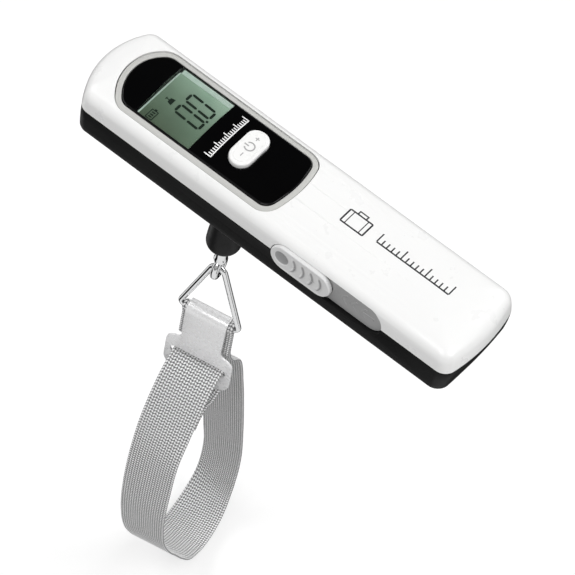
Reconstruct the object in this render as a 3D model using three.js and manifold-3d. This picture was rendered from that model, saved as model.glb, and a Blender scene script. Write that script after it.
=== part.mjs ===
// Push-to-charge digital luggage scale: a bar-shaped handle with a display, a load cell inside,
// and a swivelling eye, triangle link and webbing loop that hang below it.
// Millimetres. +X runs from the display end to the tail, +Y across the handle, +Z up.
// The origin is where the swivel axis meets the flat underside.
import * as THREE from 'three';
import { mergeVertices } from 'three/addons/utils/BufferGeometryUtils.js';
import Module from 'manifold-3d';

const wasm = await Module();
wasm.setup();

// ---- Driving dimensions -------------------------------------------------------------------
const GAP = 0.3;                       // clearance between pieces that touch
const HANDLE_WIDTH = 38;
const HALF_WIDTH = HANDLE_WIDTH / 2;
const DISPLAY_END_X = -59.4;
const TAIL_END_X = 104.2;
const PARTING_Z = 11.3;                // joint line between the two housing shells
const CROWN_Z = 21.7;                  // highest point of the handle
const WALL = 1.8;
const FLOOR_Z = 1.9;                   // inside face of the lower shell's floor
const DISPLAY_END_RADIUS = 29.5;
const DISPLAY_END_STEEPNESS = 0.65;    // the display end's insets as a share of the tail's
const TAIL_END_RADIUS = 75;
const HOUSING_CORNER_RADIUS = 4.8;

const PANEL_LEFT_X = -46.5;            // glossy display panel
const PANEL_RIGHT_X = 23.1;
const PANEL_HALF_WIDTH = 13;
const PANEL_LEFT_RADIUS = 17.4;
const PANEL_RIGHT_RADIUS = 35;
const PANEL_CORNER_RADIUS = 4.5;
const BEZEL_WIDTH = 2.3;
const WINDOW_X = [-35.4, -12.6];       // liquid crystal window in the panel
const WINDOW_HALF_WIDTH = 12.5;

const BUTTON_X = 2.3;
const BUTTON_Y = 0.8;
const BUTTON_RAISE = 1.2;               // cap above the crown of the housing
const BUTTON_LENGTH = 16.8;            // across the handle
const BUTTON_WIDTH = 8.5;

const POCKET_X = [28.9, 75.3];         // finger slider's pocket in the -Y side
const POCKET_HALF_HEIGHT = 5.8;
const TRACK_FACE_Y = -17.5;
const TRACK_BACK_Y = -16.2;
const SLIDER_LENGTH = 24.8;
const SLIDER_FACE_Y = -19.6;
const SLIDER_TRAVEL = 20;

const SWIVEL_RADIUS = 2;               // load shaft
const BOOT_BULB_Z = -33;
const BOOT_RADIUS = 6.3;
const BOOT_EDGE_RADIUS = 3.3;
const EYE_Z = -49.3;
const EYE_RADIUS = 3.6;                // to the middle of the wire
const EYE_WIRE_RADIUS = 1.4;
const STRAP_TURN = THREE.MathUtils.degToRad(10.5);   // how far the eye is swivelled at rest

const LINK_WIRE_RADIUS = 1.1;
const LINK_APEX_Z = -50.15;
const LINK_BEND_RADIUS = 2.9;
const BAR_Z = -80.4;                   // the link's base bar
const BAR_HALF_LENGTH = 11.9;
const BAR_CORNER_RADIUS = 1.6;

const WEBBING_WIDTH = 20;
const WEBBING_THICKNESS = 0.9;
const SLEEVE_RADIUS = 1.75;            // middle of the webbing where it wraps the base bar
const HOOK_SHEET = 0.8;
const HOOK_ROLL_RADIUS = 2.75;         // middle of the sheet where it rolls over the bar
const HOOK_HALF_WIDTH = 13.2;
const HOOK_NECK_HALF_WIDTH = 7.8;
const HOOK_SHOULDER_Z = -97;
const HOOK_BOTTOM_Z = -116.5;
const HOOK_SLOT_Z = [-107.6, -103.4];

const CELL_Z = [3.6, 8.6];             // load cell bar
const CELL_X = [-46, 6];
const CELL_HALF_WIDTH = 6;
const CELL_SCREW_X = [-42, -35];
const BOARD_Z = [13.2, 14.4];          // circuit board
const LCD_Z = [17.9, 19.8];            // liquid crystal cell, close under its window

const RACK_MODULE = 0.8;
const STEP_MODULE = 0.6;
const ROTOR_MODULE = 0.5;
const DRIVE_PINION_TEETH = 14;
const DRIVE_WHEEL_TEETH = 26;
const STEP_PINION_TEETH = 10;
const STEP_WHEEL_TEETH = 30;
const ROTOR_PINION_TEETH = 10;
const RACK_PITCH_Y = -12.6;
const DRIVE_X = 62;
const STEP_ANGLE = THREE.MathUtils.degToRad(35);     // direction from drive gear to step-up gear
const ROTOR_ANGLE = THREE.MathUtils.degToRad(10);    // direction from step-up gear to rotor
const SPRING_LINE = [-14.2, 6.2];      // y and z of the return spring's axis
const AXLE_RADIUS = 0.75;
const AXLE_CLEARANCE = 0.25;

const HOUSING_SCREWS = [[-53.5, -8], [-53.5, 8], [95.5, -10], [95.5, 10]];

// ---- Materials ----------------------------------------------------------------------------
const plastic = (color, roughness) => new THREE.MeshStandardMaterial({ color, roughness, metalness: 0 });
const metal = (color, roughness) => new THREE.MeshStandardMaterial({ color, roughness, metalness: 1 });
const whiteGloss = () => plastic(0xf2f2f2, 0.25);
const blackSatin = () => plastic(0x222222, 0.5);
const blackGloss = () => plastic(0x050505, 0.08);
const greyMatte = () => plastic(0xb4b4b0, 0.6);
const midGrey = () => plastic(0x8c8c8c, 0.5);
const lightGrey = () => plastic(0xbdbdbd, 0.45);
const rubber = () => plastic(0x101010, 0.7);
const webbingGrey = () => plastic(0x9a9a9a, 0.95);
const acetal = () => plastic(0xe8e4d8, 0.5);
const chrome = () => metal(0xd8d8d8, 0.12);
const steel = () => metal(0xb0b0b0, 0.35);
const aluminium = () => metal(0xc4c6c8, 0.4);

// ---- Solid modelling helpers ---------------------------------------------------------------
function toSolid(geometry) {
  const bare = geometry.clone();
  bare.deleteAttribute('normal');
  bare.deleteAttribute('uv');
  const merged = mergeVertices(bare, 1e-4);
  return new wasm.Manifold(new wasm.Mesh({
    numProp: 3,
    vertProperties: new Float32Array(merged.attributes.position.array),
    triVerts: new Uint32Array(merged.index.array),
  }));
}

function toGeometry(solid) {
  const data = solid.getMesh();
  const geometry = new THREE.BufferGeometry();
  geometry.setAttribute('position', new THREE.BufferAttribute(new Float32Array(data.vertProperties), 3));
  geometry.setIndex(new THREE.BufferAttribute(new Uint32Array(data.triVerts), 1));
  geometry.computeVertexNormals();
  return geometry;
}

function joined(...solids) {
  return solids.reduce((sum, next) => sum.add(next));
}

function cut(solid, ...tools) {
  return tools.reduce((rest, tool) => rest.subtract(tool), solid);
}

function box(x, y, z) {
  const geometry = new THREE.BoxGeometry(x[1] - x[0], y[1] - y[0], z[1] - z[0]);
  geometry.translate((x[0] + x[1]) / 2, (y[0] + y[1]) / 2, (z[0] + z[1]) / 2);
  return toSolid(geometry);
}

function prism(points, z) {
  const shape = new THREE.Shape(points.map(([x, y]) => new THREE.Vector2(x, y)));
  const geometry = new THREE.ExtrudeGeometry(shape, { depth: z[1] - z[0], bevelEnabled: false });
  geometry.translate(0, 0, z[0]);
  return toSolid(geometry);
}

// A prism whose outline lies in the Y-Z plane and whose length runs along X.
function prismAlongX(points, x) {
  const shape = new THREE.Shape(points.map(([y, z]) => new THREE.Vector2(y, z)));
  const geometry = new THREE.ExtrudeGeometry(shape, { depth: x[1] - x[0], bevelEnabled: false });
  const axes = new THREE.Matrix4().makeBasis(
    new THREE.Vector3(0, 1, 0), new THREE.Vector3(0, 0, 1), new THREE.Vector3(1, 0, 0));
  geometry.applyMatrix4(axes);
  geometry.translate(x[0], 0, 0);
  return toSolid(geometry);
}

// A prism whose outline lies in the X-Z plane and whose length runs along Y.
function prismAlongY(points, y) {
  const shape = new THREE.Shape(points.map(([x, z]) => new THREE.Vector2(x, z)));
  const geometry = new THREE.ExtrudeGeometry(shape, { depth: y[1] - y[0], bevelEnabled: false });
  geometry.rotateX(Math.PI / 2);
  geometry.translate(0, y[1], 0);
  return toSolid(geometry);
}

function cylinder(radius, z, center = [0, 0], sides = 20) {
  const geometry = new THREE.CylinderGeometry(radius, radius, z[1] - z[0], sides);
  geometry.rotateX(Math.PI / 2);
  geometry.translate(center[0], center[1], (z[0] + z[1]) / 2);
  return toSolid(geometry);
}

function cylinderAlongX(radius, x, center, sides = 16) {
  const geometry = new THREE.CylinderGeometry(radius, radius, x[1] - x[0], sides);
  geometry.rotateZ(Math.PI / 2);
  geometry.translate((x[0] + x[1]) / 2, center[0], center[1]);
  return toSolid(geometry);
}

function cylinderAlongY(radius, y, center, sides = 16) {
  const geometry = new THREE.CylinderGeometry(radius, radius, y[1] - y[0], sides);
  geometry.translate(center[0], (y[0] + y[1]) / 2, center[1]);
  return toSolid(geometry);
}

// A body of revolution about +Z from [radius, z] points listed anticlockwise.
function turned(points, sides = 28) {
  const geometry = new THREE.LatheGeometry(points.map(([r, z]) => new THREE.Vector2(r, z)), sides);
  geometry.rotateX(Math.PI / 2);
  return toSolid(geometry);
}

function tube(curve, radius, sides, steps) {
  const section = new THREE.Shape(arcPoints(0, 0, radius, 0, 2 * Math.PI, sides, false)
    .map(([x, y]) => new THREE.Vector2(x, y)));
  const geometry = new THREE.ExtrudeGeometry(section, { steps, extrudePath: curve, bevelEnabled: false });
  return toSolid(geometry);
}

function arcPoints(cx, cy, radius, from, to, steps, withEnd = true) {
  const points = [];
  const last = withEnd ? steps : steps - 1;
  for (let i = 0; i <= last; i += 1) {
    const angle = from + ((to - from) * i) / steps;
    points.push([cx + radius * Math.cos(angle), cy + radius * Math.sin(angle)]);
  }
  return points;
}

// A stadium outline, centred, with its long axis along the first coordinate.
function stadium(length, height, steps = 8, center = [0, 0]) {
  const radius = height / 2;
  const reach = length / 2 - radius;
  return [
    ...arcPoints(center[0] + reach, center[1], radius, -Math.PI / 2, Math.PI / 2, steps),
    ...arcPoints(center[0] - reach, center[1], radius, Math.PI / 2, (3 * Math.PI) / 2, steps),
  ];
}

// A long outline with a bowed arc at each end and rounded corners, listed anticlockwise.
function bowedOutline(leftX, rightX, halfWidth, leftRadius, rightRadius, corner, steps = 9) {
  const end = (apexX, radius, side) => {
    const arcX = apexX - side * radius;
    const filletY = halfWidth - corner;
    const filletX = arcX + side * Math.sqrt((radius - corner) ** 2 - filletY ** 2);
    return { arcX, filletX, filletY, swing: Math.asin(filletY / (radius - corner)) };
  };
  const right = end(rightX, rightRadius, 1);
  const left = end(leftX, leftRadius, -1);
  const half = Math.PI / 2;
  return [
    ...arcPoints(right.filletX, -right.filletY, corner, -half, -right.swing, 3),
    ...arcPoints(right.arcX, 0, rightRadius, -right.swing, right.swing, steps).slice(1, -1),
    ...arcPoints(right.filletX, right.filletY, corner, right.swing, half, 3),
    ...arcPoints(left.filletX, left.filletY, corner, half, Math.PI - left.swing, 3),
    ...arcPoints(left.arcX, 0, leftRadius, Math.PI - left.swing, Math.PI + left.swing, steps).slice(1, -1),
    ...arcPoints(left.filletX, -left.filletY, corner, Math.PI + left.swing, 3 * half, 3),
  ];
}

// One level of the handle: its plan outline drawn in at the sides and ends, at height z.
function handleLevel(side, displayInset, tailInset, z, tailRadius = TAIL_END_RADIUS) {
  return bowedOutline(
    DISPLAY_END_X + displayInset, TAIL_END_X - tailInset, HALF_WIDTH - side,
    DISPLAY_END_RADIUS, tailRadius, Math.max(HOUSING_CORNER_RADIUS - side * 0.4, 1.5),
  ).map(([x, y]) => [x, y, z]);
}

// A closed solid through levels [side inset, end inset, z] of the handle.
function handleLoft(levels) {
  return ringSolid(levels.map(([side, end, z]) => handleLevel(side, end * DISPLAY_END_STEEPNESS, end, z)));
}

// A closed solid through level rings of equal point counts.
function ringSolid(rings) {
  const count = rings[0].length;
  const positions = rings.flat(2);
  const index = [];
  for (let r = 0; r + 1 < rings.length; r += 1) {
    for (let i = 0; i < count; i += 1) {
      const a = r * count + i;
      const b = r * count + ((i + 1) % count);
      index.push(a, b, b + count, a, b + count, a + count);
    }
  }
  const middle = (DISPLAY_END_X + TAIL_END_X) / 2;
  const bottom = positions.length / 3;
  positions.push(middle, 0, rings[0][0][2], middle, 0, rings[rings.length - 1][0][2]);
  const top = (rings.length - 1) * count;
  for (let i = 0; i < count; i += 1) {
    index.push(bottom, (i + 1) % count, i);
    index.push(bottom + 1, top + i, top + ((i + 1) % count));
  }
  const geometry = new THREE.BufferGeometry();
  geometry.setAttribute('position', new THREE.Float32BufferAttribute(positions, 3));
  geometry.setIndex(index);
  return toSolid(geometry);
}

const CROWN_LEVELS = [
  [0.2, 0.4, 14], [0.5, 1, 16.5], [1.2, 1.9, 18], [2.6, 3.5, 19.2],
  [4.2, 5.6, 19.95], [7, 9, 20.65], [11, 14, 21.3], [15, 20, CROWN_Z],
];
const INNER_LEVELS = [
  [WALL + 0.3, WALL + 0.8, 14], [WALL + 0.8, WALL + 1.6, 16.2], [3.4, 4.2, 17.4], [5.4, 6.6, 18.2],
  [8, 10, 18.8], [14, 18, 19.5],
];

function crownedBlock(lower, raise) {
  return handleLoft([[0, 0, lower], ...CROWN_LEVELS.map(([s, e, z]) => [s, e, z + raise])]);
}

const panelOutline = (grow) => bowedOutline(PANEL_LEFT_X - grow, PANEL_RIGHT_X + grow,
  PANEL_HALF_WIDTH + grow, PANEL_LEFT_RADIUS + grow, PANEL_RIGHT_RADIUS + grow,
  PANEL_CORNER_RADIUS + grow, 10);

const buttonOutline = (grow) => stadium(BUTTON_LENGTH + 2 * grow, BUTTON_WIDTH + 2 * grow, 8)
  .map(([along, across]) => [BUTTON_X - across, BUTTON_Y + along]);

const pocketMiddle = [(POCKET_X[0] + POCKET_X[1]) / 2, PARTING_Z];
const pocketTool = (grow, y) => prismAlongY(
  stadium(POCKET_X[1] - POCKET_X[0] + 2 * grow, 2 * (POCKET_HALF_HEIGHT + grow), 8, pocketMiddle), y);

// ---- Housing --------------------------------------------------------------------------------
function upperShell() {
  const outside = crownedBlock(PARTING_Z + GAP / 2, 0);
  const inside = handleLoft([[WALL, WALL + 0.4, 10], ...INNER_LEVELS]);
  const bosses = HOUSING_SCREWS.map((at) => cylinder(2.8, [PARTING_Z + GAP, 18.8], at, 16));
  const pilots = HOUSING_SCREWS.map((at) => cylinder(1.35, [10, 16.8], at, 10));
  return cut(
    joined(cut(outside, inside), ...bosses),
    ...pilots,
    prism(panelOutline(BEZEL_WIDTH + 0.15), [16, 23]),
    pocketTool(0, [-21, -15]),
  );
}

function lowerShell() {
  const outside = ringSolid([
    handleLevel(0.9, 0.9, 3.2, 0, 300),
    handleLevel(0.5, 0.5, 2.7, 0.25, 280),
    handleLevel(0.3, 0.3, 2.3, 0.8, 240),
    handleLevel(0.15, 0.15, 1.6, 3, 160),
    handleLevel(0, 0, 0.7, 7, 105),
    handleLevel(0, 0, 0, PARTING_Z - GAP / 2),
  ]);
  const inside = handleLoft([[WALL + 0.6, WALL + 3.2, FLOOR_Z], [WALL, WALL + 0.4, 13]]);
  const columns = HOUSING_SCREWS.map((at) => cylinder(4.2, [1, PARTING_Z - GAP], at, 16));
  const counterbores = HOUSING_SCREWS.map((at) => cylinder(2.9, [-1, 4.2], at, 16));
  const holes = HOUSING_SCREWS.map((at) => cylinder(1.4, [-1, 12], at, 10));
  const columnsInside = joined(...columns).intersect(outside);
  return cut(
    joined(cut(outside, inside), columnsInside),
    ...counterbores,
    ...holes,
    cylinder(5.2, [-1, 3], [0, 0], 28),
    pocketTool(0, [-21, -15]),
  );
}

function housingScrew(x, y) {
  const head = cylinder(2.5, [1.9, 3.9], [x, y], 16);
  const shank = cylinder(1.1, [3.5, 16.2], [x, y], 10);
  const slot = joined(
    box([x - 1.6, x + 1.6], [y - 0.3, y + 0.3], [1.5, 2.9]),
    box([x - 0.3, x + 0.3], [y - 1.6, y + 1.6], [1.5, 2.9]),
  );
  return cut(joined(head, shank), slot);
}

// ---- Display --------------------------------------------------------------------------------
function displayBezel() {
  const ring = cut(
    prism(panelOutline(BEZEL_WIDTH - 0.15), [16.6, 23]),
    prism(panelOutline(0.15), [16, 24]),
  );
  return ring.intersect(crownedBlock(15, -0.35));
}

const windowTool = (grow, z) => box([WINDOW_X[0] - grow, WINDOW_X[1] + grow],
  [-WINDOW_HALF_WIDTH - grow, WINDOW_HALF_WIDTH + grow], z);

function displayLens() {
  const blank = prism(panelOutline(-0.15), [18, 23]).intersect(crownedBlock(15, -0.25));
  return cut(blank, windowTool(0, [17, 24]), prism(buttonOutline(0.35), [17, 24]));
}

function lcdWindow() {
  return windowTool(-0.15, [LCD_Z[1] + 0.2, 23]).intersect(crownedBlock(15, -0.3));
}

// Holder under the cell, open in the middle for the connector strip.
function lcdFrame() {
  const frame = box([-38, -10], [-12.8, 12.8], [14.7, LCD_Z[0] - GAP]);
  return cut(frame, box([-33, -15], [-9.8, 9.8], [14, 18]));
}

function zebraConnector() {
  return box([-32.6, -15.4], [7.4, 9.4], [BOARD_Z[1] + 0.2, LCD_Z[0] - GAP]);
}

function modeButton() {
  const cap = prism(buttonOutline(0), [17.3, 23]).intersect(crownedBlock(15, BUTTON_RAISE));
  const flange = prism(buttonOutline(0.8), [17, 17.7]);
  return joined(cap, flange);
}

function buttonSwitch() {
  const half = 2.6;
  const z = [BOARD_Z[1] + 0.2, 15.8];
  return box([BUTTON_X - half, BUTTON_X + half], [BUTTON_Y - half, BUTTON_Y + half], z);
}

function controllerChip() {
  return box([-30, -22], [-4, 4], [BOARD_Z[0] - 1.6, BOARD_Z[0] - 0.2]);
}

function mainBoard() {
  return box([-46, 24], [-12.5, 12.5], BOARD_Z);
}

// ---- Load path ------------------------------------------------------------------------------
function loadCell() {
  const middleZ = (CELL_Z[0] + CELL_Z[1]) / 2;
  const bar = box(CELL_X, [-CELL_HALF_WIDTH, CELL_HALF_WIDTH], CELL_Z);
  const eyes = [-24, -12].map((x) => cylinderAlongY(1.7, [-7, 7], [x, middleZ], 14));
  const waist = box([-24, -12], [-7, 7], [middleZ - 0.5, middleZ + 0.5]);
  const holes = CELL_SCREW_X.map((x) => cylinder(1.7, [0, 12], [x, 0], 12));
  return cut(bar, ...eyes, waist, ...holes, cylinder(SWIVEL_RADIUS + 0.4, [0, 12], [0, 0], 20));
}

function loadCellBase() {
  const z = [FLOOR_Z + GAP, CELL_Z[0] - GAP];
  const block = box([CELL_X[0], -30], [-CELL_HALF_WIDTH, CELL_HALF_WIDTH], z);
  return cut(block, ...CELL_SCREW_X.map((x) => cylinder(1.7, [0, 12], [x, 0], 12)));
}

function loadCellScrew(x) {
  const head = cylinder(2.6, [CELL_Z[1] + GAP, CELL_Z[1] + 2.3], [x, 0], 16);
  return joined(head, cylinder(1.35, [FLOOR_Z + 0.5, CELL_Z[1] + 1], [x, 0], 10));
}

function thrustWasher() {
  const z = [CELL_Z[1] + GAP, CELL_Z[1] + 0.9];
  return cut(cylinder(4.4, z, [0, 0], 24), cylinder(SWIVEL_RADIUS + 0.3, [0, 20], [0, 0], 20));
}

function swivelNut() {
  const z = [CELL_Z[1] + 1.2, CELL_Z[1] + 3.8];
  return cut(cylinder(4, z, [0, 0], 6), cylinder(SWIVEL_RADIUS + 0.2, [0, 20], [0, 0], 20));
}

function neckBoot() {
  const edge = arcPoints(BOOT_RADIUS - BOOT_EDGE_RADIUS, BOOT_BULB_Z, BOOT_EDGE_RADIUS, -Math.PI / 2, 0, 7);
  const bore = SWIVEL_RADIUS + 0.5;
  const bottomZ = BOOT_BULB_Z - BOOT_EDGE_RADIUS;
  return turned([
    [bore, bottomZ],
    ...edge,
    [6.15, -30], [5.8, -26], [5.45, -21], [5.15, -15], [5.1, -10.5], [5.5, -6.5], [6.9, -3.4], [9, -1.6],
    [9.4, -GAP], [4.9, -GAP], [4.9, FLOOR_Z + GAP], [7, FLOOR_Z + GAP], [7, FLOOR_Z + 1.2],
    [bore, FLOOR_Z + 1.2],
    [bore, bottomZ],
  ], 32);
}

function swivelEye() {
  const ring = new THREE.TorusGeometry(EYE_RADIUS, EYE_WIRE_RADIUS, 10, 28);
  ring.rotateY(Math.PI / 2);
  ring.translate(0, 0, EYE_Z);
  const neckZ = EYE_Z + EYE_RADIUS;
  const shank = turned([
    [0, neckZ - 0.4], [1.9, neckZ - 0.4], [2.2, neckZ + 1], [SWIVEL_RADIUS, neckZ + 2.6],
    [SWIVEL_RADIUS, CELL_Z[1] + 4], [SWIVEL_RADIUS - 0.4, CELL_Z[1] + 4.4], [0, CELL_Z[1] + 4.4],
  ], 20);
  return joined(toSolid(ring), shank);
}

// The wire's middle line: apex bend, straight legs, tight corners and a base bar split in its middle.
function linkPath() {
  const bendZ = LINK_APEX_Z - LINK_BEND_RADIUS;
  const reach = Math.hypot(BAR_HALF_LENGTH, bendZ - BAR_Z);
  const lean = Math.atan2(BAR_HALF_LENGTH, bendZ - BAR_Z);
  const legAngle = lean - Math.asin(LINK_BEND_RADIUS / reach);
  const corner = Math.PI / 2 - legAngle;
  const cornerShift = BAR_CORNER_RADIUS / Math.tan(corner / 2);
  const cornerX = BAR_HALF_LENGTH - cornerShift;
  const cornerZ = BAR_Z + BAR_CORNER_RADIUS;
  const half = Math.PI / 2;
  const right = [
    [0.15, BAR_Z],
    ...arcPoints(cornerX, cornerZ, BAR_CORNER_RADIUS, -half, legAngle, 6),
    ...arcPoints(0, bendZ, LINK_BEND_RADIUS, legAngle, half, 7),
  ];
  const left = right.slice(0, -1).reverse().map(([x, z]) => [-x, z]);
  return [...right, ...left].map(([x, z]) => new THREE.Vector3(x, 0, z));
}

// A wire swept through given points, with mitred joints, lying in the X-Z plane.
function planarWire(points, radius, sides) {
  const count = points.length;
  const positions = [];
  const index = [];
  points.forEach((point, i) => {
    const before = points[Math.max(i - 1, 0)];
    const after = points[Math.min(i + 1, count - 1)];
    const along = after.clone().sub(before).normalize();
    const across = new THREE.Vector3(-along.z, 0, along.x);
    for (let s = 0; s < sides; s += 1) {
      const angle = (2 * Math.PI * s) / sides;
      positions.push(point.x + across.x * radius * Math.cos(angle), radius * Math.sin(angle),
        point.z + across.z * radius * Math.cos(angle));
    }
  });
  for (let i = 0; i + 1 < count; i += 1) {
    for (let s = 0; s < sides; s += 1) {
      const a = i * sides + s;
      const b = i * sides + ((s + 1) % sides);
      index.push(a, b + sides, b, a, a + sides, b + sides);
    }
  }
  for (let s = 1; s + 1 < sides; s += 1) {
    const end = (count - 1) * sides;
    index.push(0, s, s + 1, end, end + s + 1, end + s);
  }
  const geometry = new THREE.BufferGeometry();
  geometry.setAttribute('position', new THREE.Float32BufferAttribute(positions, 3));
  geometry.setIndex(index);
  return toSolid(geometry);
}

function triangleLink() {
  return planarWire(linkPath(), LINK_WIRE_RADIUS, 10);
}

// ---- Hook plate and webbing -------------------------------------------------------------------
// A strip of constant thickness about a middle line in the Y-Z plane, as a closed outline.
function stripOutline(line, thickness) {
  const sides = [1, -1].map((side) => line.map((point, i) => {
    const before = line[Math.max(i - 1, 0)];
    const after = line[Math.min(i + 1, line.length - 1)];
    const dy = after[0] - before[0];
    const dz = after[1] - before[1];
    const scale = (side * thickness) / 2 / Math.hypot(dy, dz);
    return [point[0] - dz * scale, point[1] + dy * scale];
  }));
  return [...sides[1], ...sides[0].reverse()];
}

function smoothLine(points, step) {
  const knots = points.map(([y, z]) => new THREE.Vector3(0, y, z));
  const curve = new THREE.CatmullRomCurve3(knots, false, 'centripetal');
  curve.arcLengthDivisions = 600;
  return curve.getSpacedPoints(Math.round(curve.getLength() / step)).map((p) => [p.y, p.z]);
}

function hookPlate() {
  const roll = arcPoints(0, BAR_Z, HOOK_ROLL_RADIUS, -0.1, Math.PI, 12);
  const line = [...roll, [-HOOK_ROLL_RADIUS, BAR_Z - 6], [-HOOK_ROLL_RADIUS, HOOK_BOTTOM_Z]];
  const sheet = prismAlongX(stripOutline(line, HOOK_SHEET), [-HOOK_HALF_WIDTH, HOOK_HALF_WIDTH]);
  const ear = 6;
  const fillet = 2.6;
  const half = Math.PI / 2;
  const rightSide = [
    ...arcPoints(HOOK_HALF_WIDTH - ear, HOOK_BOTTOM_Z + ear, ear, -half, 0, 6),
    ...arcPoints(HOOK_HALF_WIDTH - 4, HOOK_SHOULDER_Z - 4, 4, 0, half, 5),
    ...arcPoints(HOOK_NECK_HALF_WIDTH + fillet, HOOK_SHOULDER_Z + fillet, fillet, -half, -Math.PI, 4),
    [HOOK_NECK_HALF_WIDTH + 0.2, BAR_Z - 2],
    [HOOK_NECK_HALF_WIDTH + 0.2, BAR_Z + 5],
  ];
  const leftSide = rightSide.map(([x, z]) => [-x, z]).reverse();
  const face = prismAlongY([...rightSide, ...leftSide], [-6, 6]);
  const slotHeight = HOOK_SLOT_Z[1] - HOOK_SLOT_Z[0];
  const slotMiddle = (HOOK_SLOT_Z[0] + HOOK_SLOT_Z[1]) / 2;
  const slot = prismAlongY(stadium(WEBBING_WIDTH + 2.2, slotHeight, 5, [0, slotMiddle]), [-6, 0]);
  return cut(sheet.intersect(face), slot);
}

// Back run: sewn round the base bar, then down behind the hook plate to the bottom of the loop.
const BACK_RUN = [
  [14.1, -119.6], [22, -141.6], [30, -171.8], [36.4, -197.6], [40.7, -217.9], [42.7, -235.8],
  [39.8, -249.4], [28.9, -255.6], [16.6, -253.4],
];
// Front run: up the front, through the hook plate's slot, and folded back inside itself.
const FRONT_RUN = [
  [16.3, -253.3], [4.8, -245.2], [-4.4, -233], [-12.8, -218.4], [-20.9, -202.8], [-27.4, -185.3],
  [-30.8, -165], [-30.3, -147.2], [-27.8, -132], [-21.6, -120.5], [-14.5, -111.6], [-8, -107],
  [-2.75, -105.4], [0.6, -106.4], [2, -110.5], [1.2, -116], [-2.2, -118.9], [-7, -118.9],
  [-12.4, -116.6], [-16.6, -117.6], [-19.4, -121],
];

function webbing(points) {
  const outline = stripOutline(smoothLine(points, 4.2), WEBBING_THICKNESS);
  return prismAlongX(outline, [-WEBBING_WIDTH / 2, WEBBING_WIDTH / 2]);
}

function strapBackRun() {
  const sleeve = arcPoints(0, BAR_Z, SLEEVE_RADIUS, Math.PI + 0.9, -0.9, 9);
  const points = [[-0.75, BAR_Z - 16], [-0.75, BAR_Z - 9], [-0.8, BAR_Z - 3.6], ...sleeve,
    [0.75, BAR_Z - 3.6], [0.8, BAR_Z - 9], [1.4, BAR_Z - 18], [5.4, BAR_Z - 27], ...BACK_RUN];
  const top = points.findIndex(([y]) => y === 5.4);
  const fine = smoothLine(points.slice(0, top + 1), 1.1);
  const coarse = smoothLine(points.slice(top), 4.6).slice(1);
  return prismAlongX(stripOutline([...fine, ...coarse], WEBBING_THICKNESS),
    [-WEBBING_WIDTH / 2, WEBBING_WIDTH / 2]);
}

// ---- Slider and generator ------------------------------------------------------------------
const pitchRadius = (teeth, module) => (teeth * module) / 2;

// Spur gear outline with a tooth centred on the given angle.
function gearOutline(teeth, module, toothAngle) {
  const pitch = (2 * Math.PI) / teeth;
  const root = pitchRadius(teeth, module) - 1.25 * module;
  const tip = pitchRadius(teeth, module) + 0.8 * module;
  const points = [];
  for (let i = 0; i < teeth; i += 1) {
    const angle = toothAngle + i * pitch;
    const corners = [[root, -0.27], [tip, -0.1], [tip, 0.1], [root, 0.27]];
    corners.forEach(([r, share]) => {
      const a = angle + share * pitch;
      points.push([r * Math.cos(a), r * Math.sin(a)]);
    });
  }
  return points;
}

const gearAt = (outline, center, z) => prism(outline.map(([x, y]) => [x + center[0], y + center[1]]), z);
const polar = (center, distance, angle) => [
  center[0] + distance * Math.cos(angle), center[1] + distance * Math.sin(angle)];

const drivePinionRadius = pitchRadius(DRIVE_PINION_TEETH, RACK_MODULE);
const driveCenter = [DRIVE_X, RACK_PITCH_Y + drivePinionRadius];
const stepCenter = polar(driveCenter,
  pitchRadius(DRIVE_WHEEL_TEETH, STEP_MODULE) + pitchRadius(STEP_PINION_TEETH, STEP_MODULE), STEP_ANGLE);
const rotorCenter = polar(stepCenter,
  pitchRadius(STEP_WHEEL_TEETH, ROTOR_MODULE) + pitchRadius(ROTOR_PINION_TEETH, ROTOR_MODULE), ROTOR_ANGLE);

const RACK_Z = [9.6, 12.8];
const WHEEL_Z = [13.4, 15];
const STEP_WHEEL_Z = [5.6, 7.2];
const PLATE_Z = [3, 4.2];
const TOP_PLATE_Z = [16, 17];

function gearBore(center) {
  return cylinder(AXLE_RADIUS + AXLE_CLEARANCE, [0, 20], center, 14);
}

function driveGear() {
  const pinion = gearAt(gearOutline(DRIVE_PINION_TEETH, RACK_MODULE, -Math.PI / 2), driveCenter,
    [RACK_Z[0] - 0.2, WHEEL_Z[0] + 0.1]);
  const wheel = gearAt(gearOutline(DRIVE_WHEEL_TEETH, STEP_MODULE, STEP_ANGLE), driveCenter, WHEEL_Z);
  return cut(joined(pinion, wheel), gearBore(driveCenter));
}

function stepUpGear() {
  const halfTooth = Math.PI / STEP_PINION_TEETH;
  const pinion = gearAt(gearOutline(STEP_PINION_TEETH, STEP_MODULE, STEP_ANGLE + Math.PI + halfTooth),
    stepCenter, [WHEEL_Z[0] - 0.4, WHEEL_Z[1] + 0.4]);
  const hub = cylinder(1.5, [STEP_WHEEL_Z[0] + 0.5, WHEEL_Z[0]], stepCenter, 16);
  const wheel = gearAt(gearOutline(STEP_WHEEL_TEETH, ROTOR_MODULE, ROTOR_ANGLE), stepCenter, STEP_WHEEL_Z);
  return cut(joined(pinion, hub, wheel), gearBore(stepCenter));
}

function rotorPinion() {
  const halfTooth = Math.PI / ROTOR_PINION_TEETH;
  const pinion = gearAt(gearOutline(ROTOR_PINION_TEETH, ROTOR_MODULE, ROTOR_ANGLE + Math.PI + halfTooth),
    rotorCenter, [STEP_WHEEL_Z[0] - 0.4, STEP_WHEEL_Z[1] + 0.4]);
  return joined(pinion, cylinder(AXLE_RADIUS, [PLATE_Z[0] + 0.2, TOP_PLATE_Z[1] - 0.2], rotorCenter, 12));
}

function magnetRotor() {
  return cut(cylinder(5.4, [8.6, 13.6], rotorCenter, 28), gearBore(rotorCenter));
}

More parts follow.
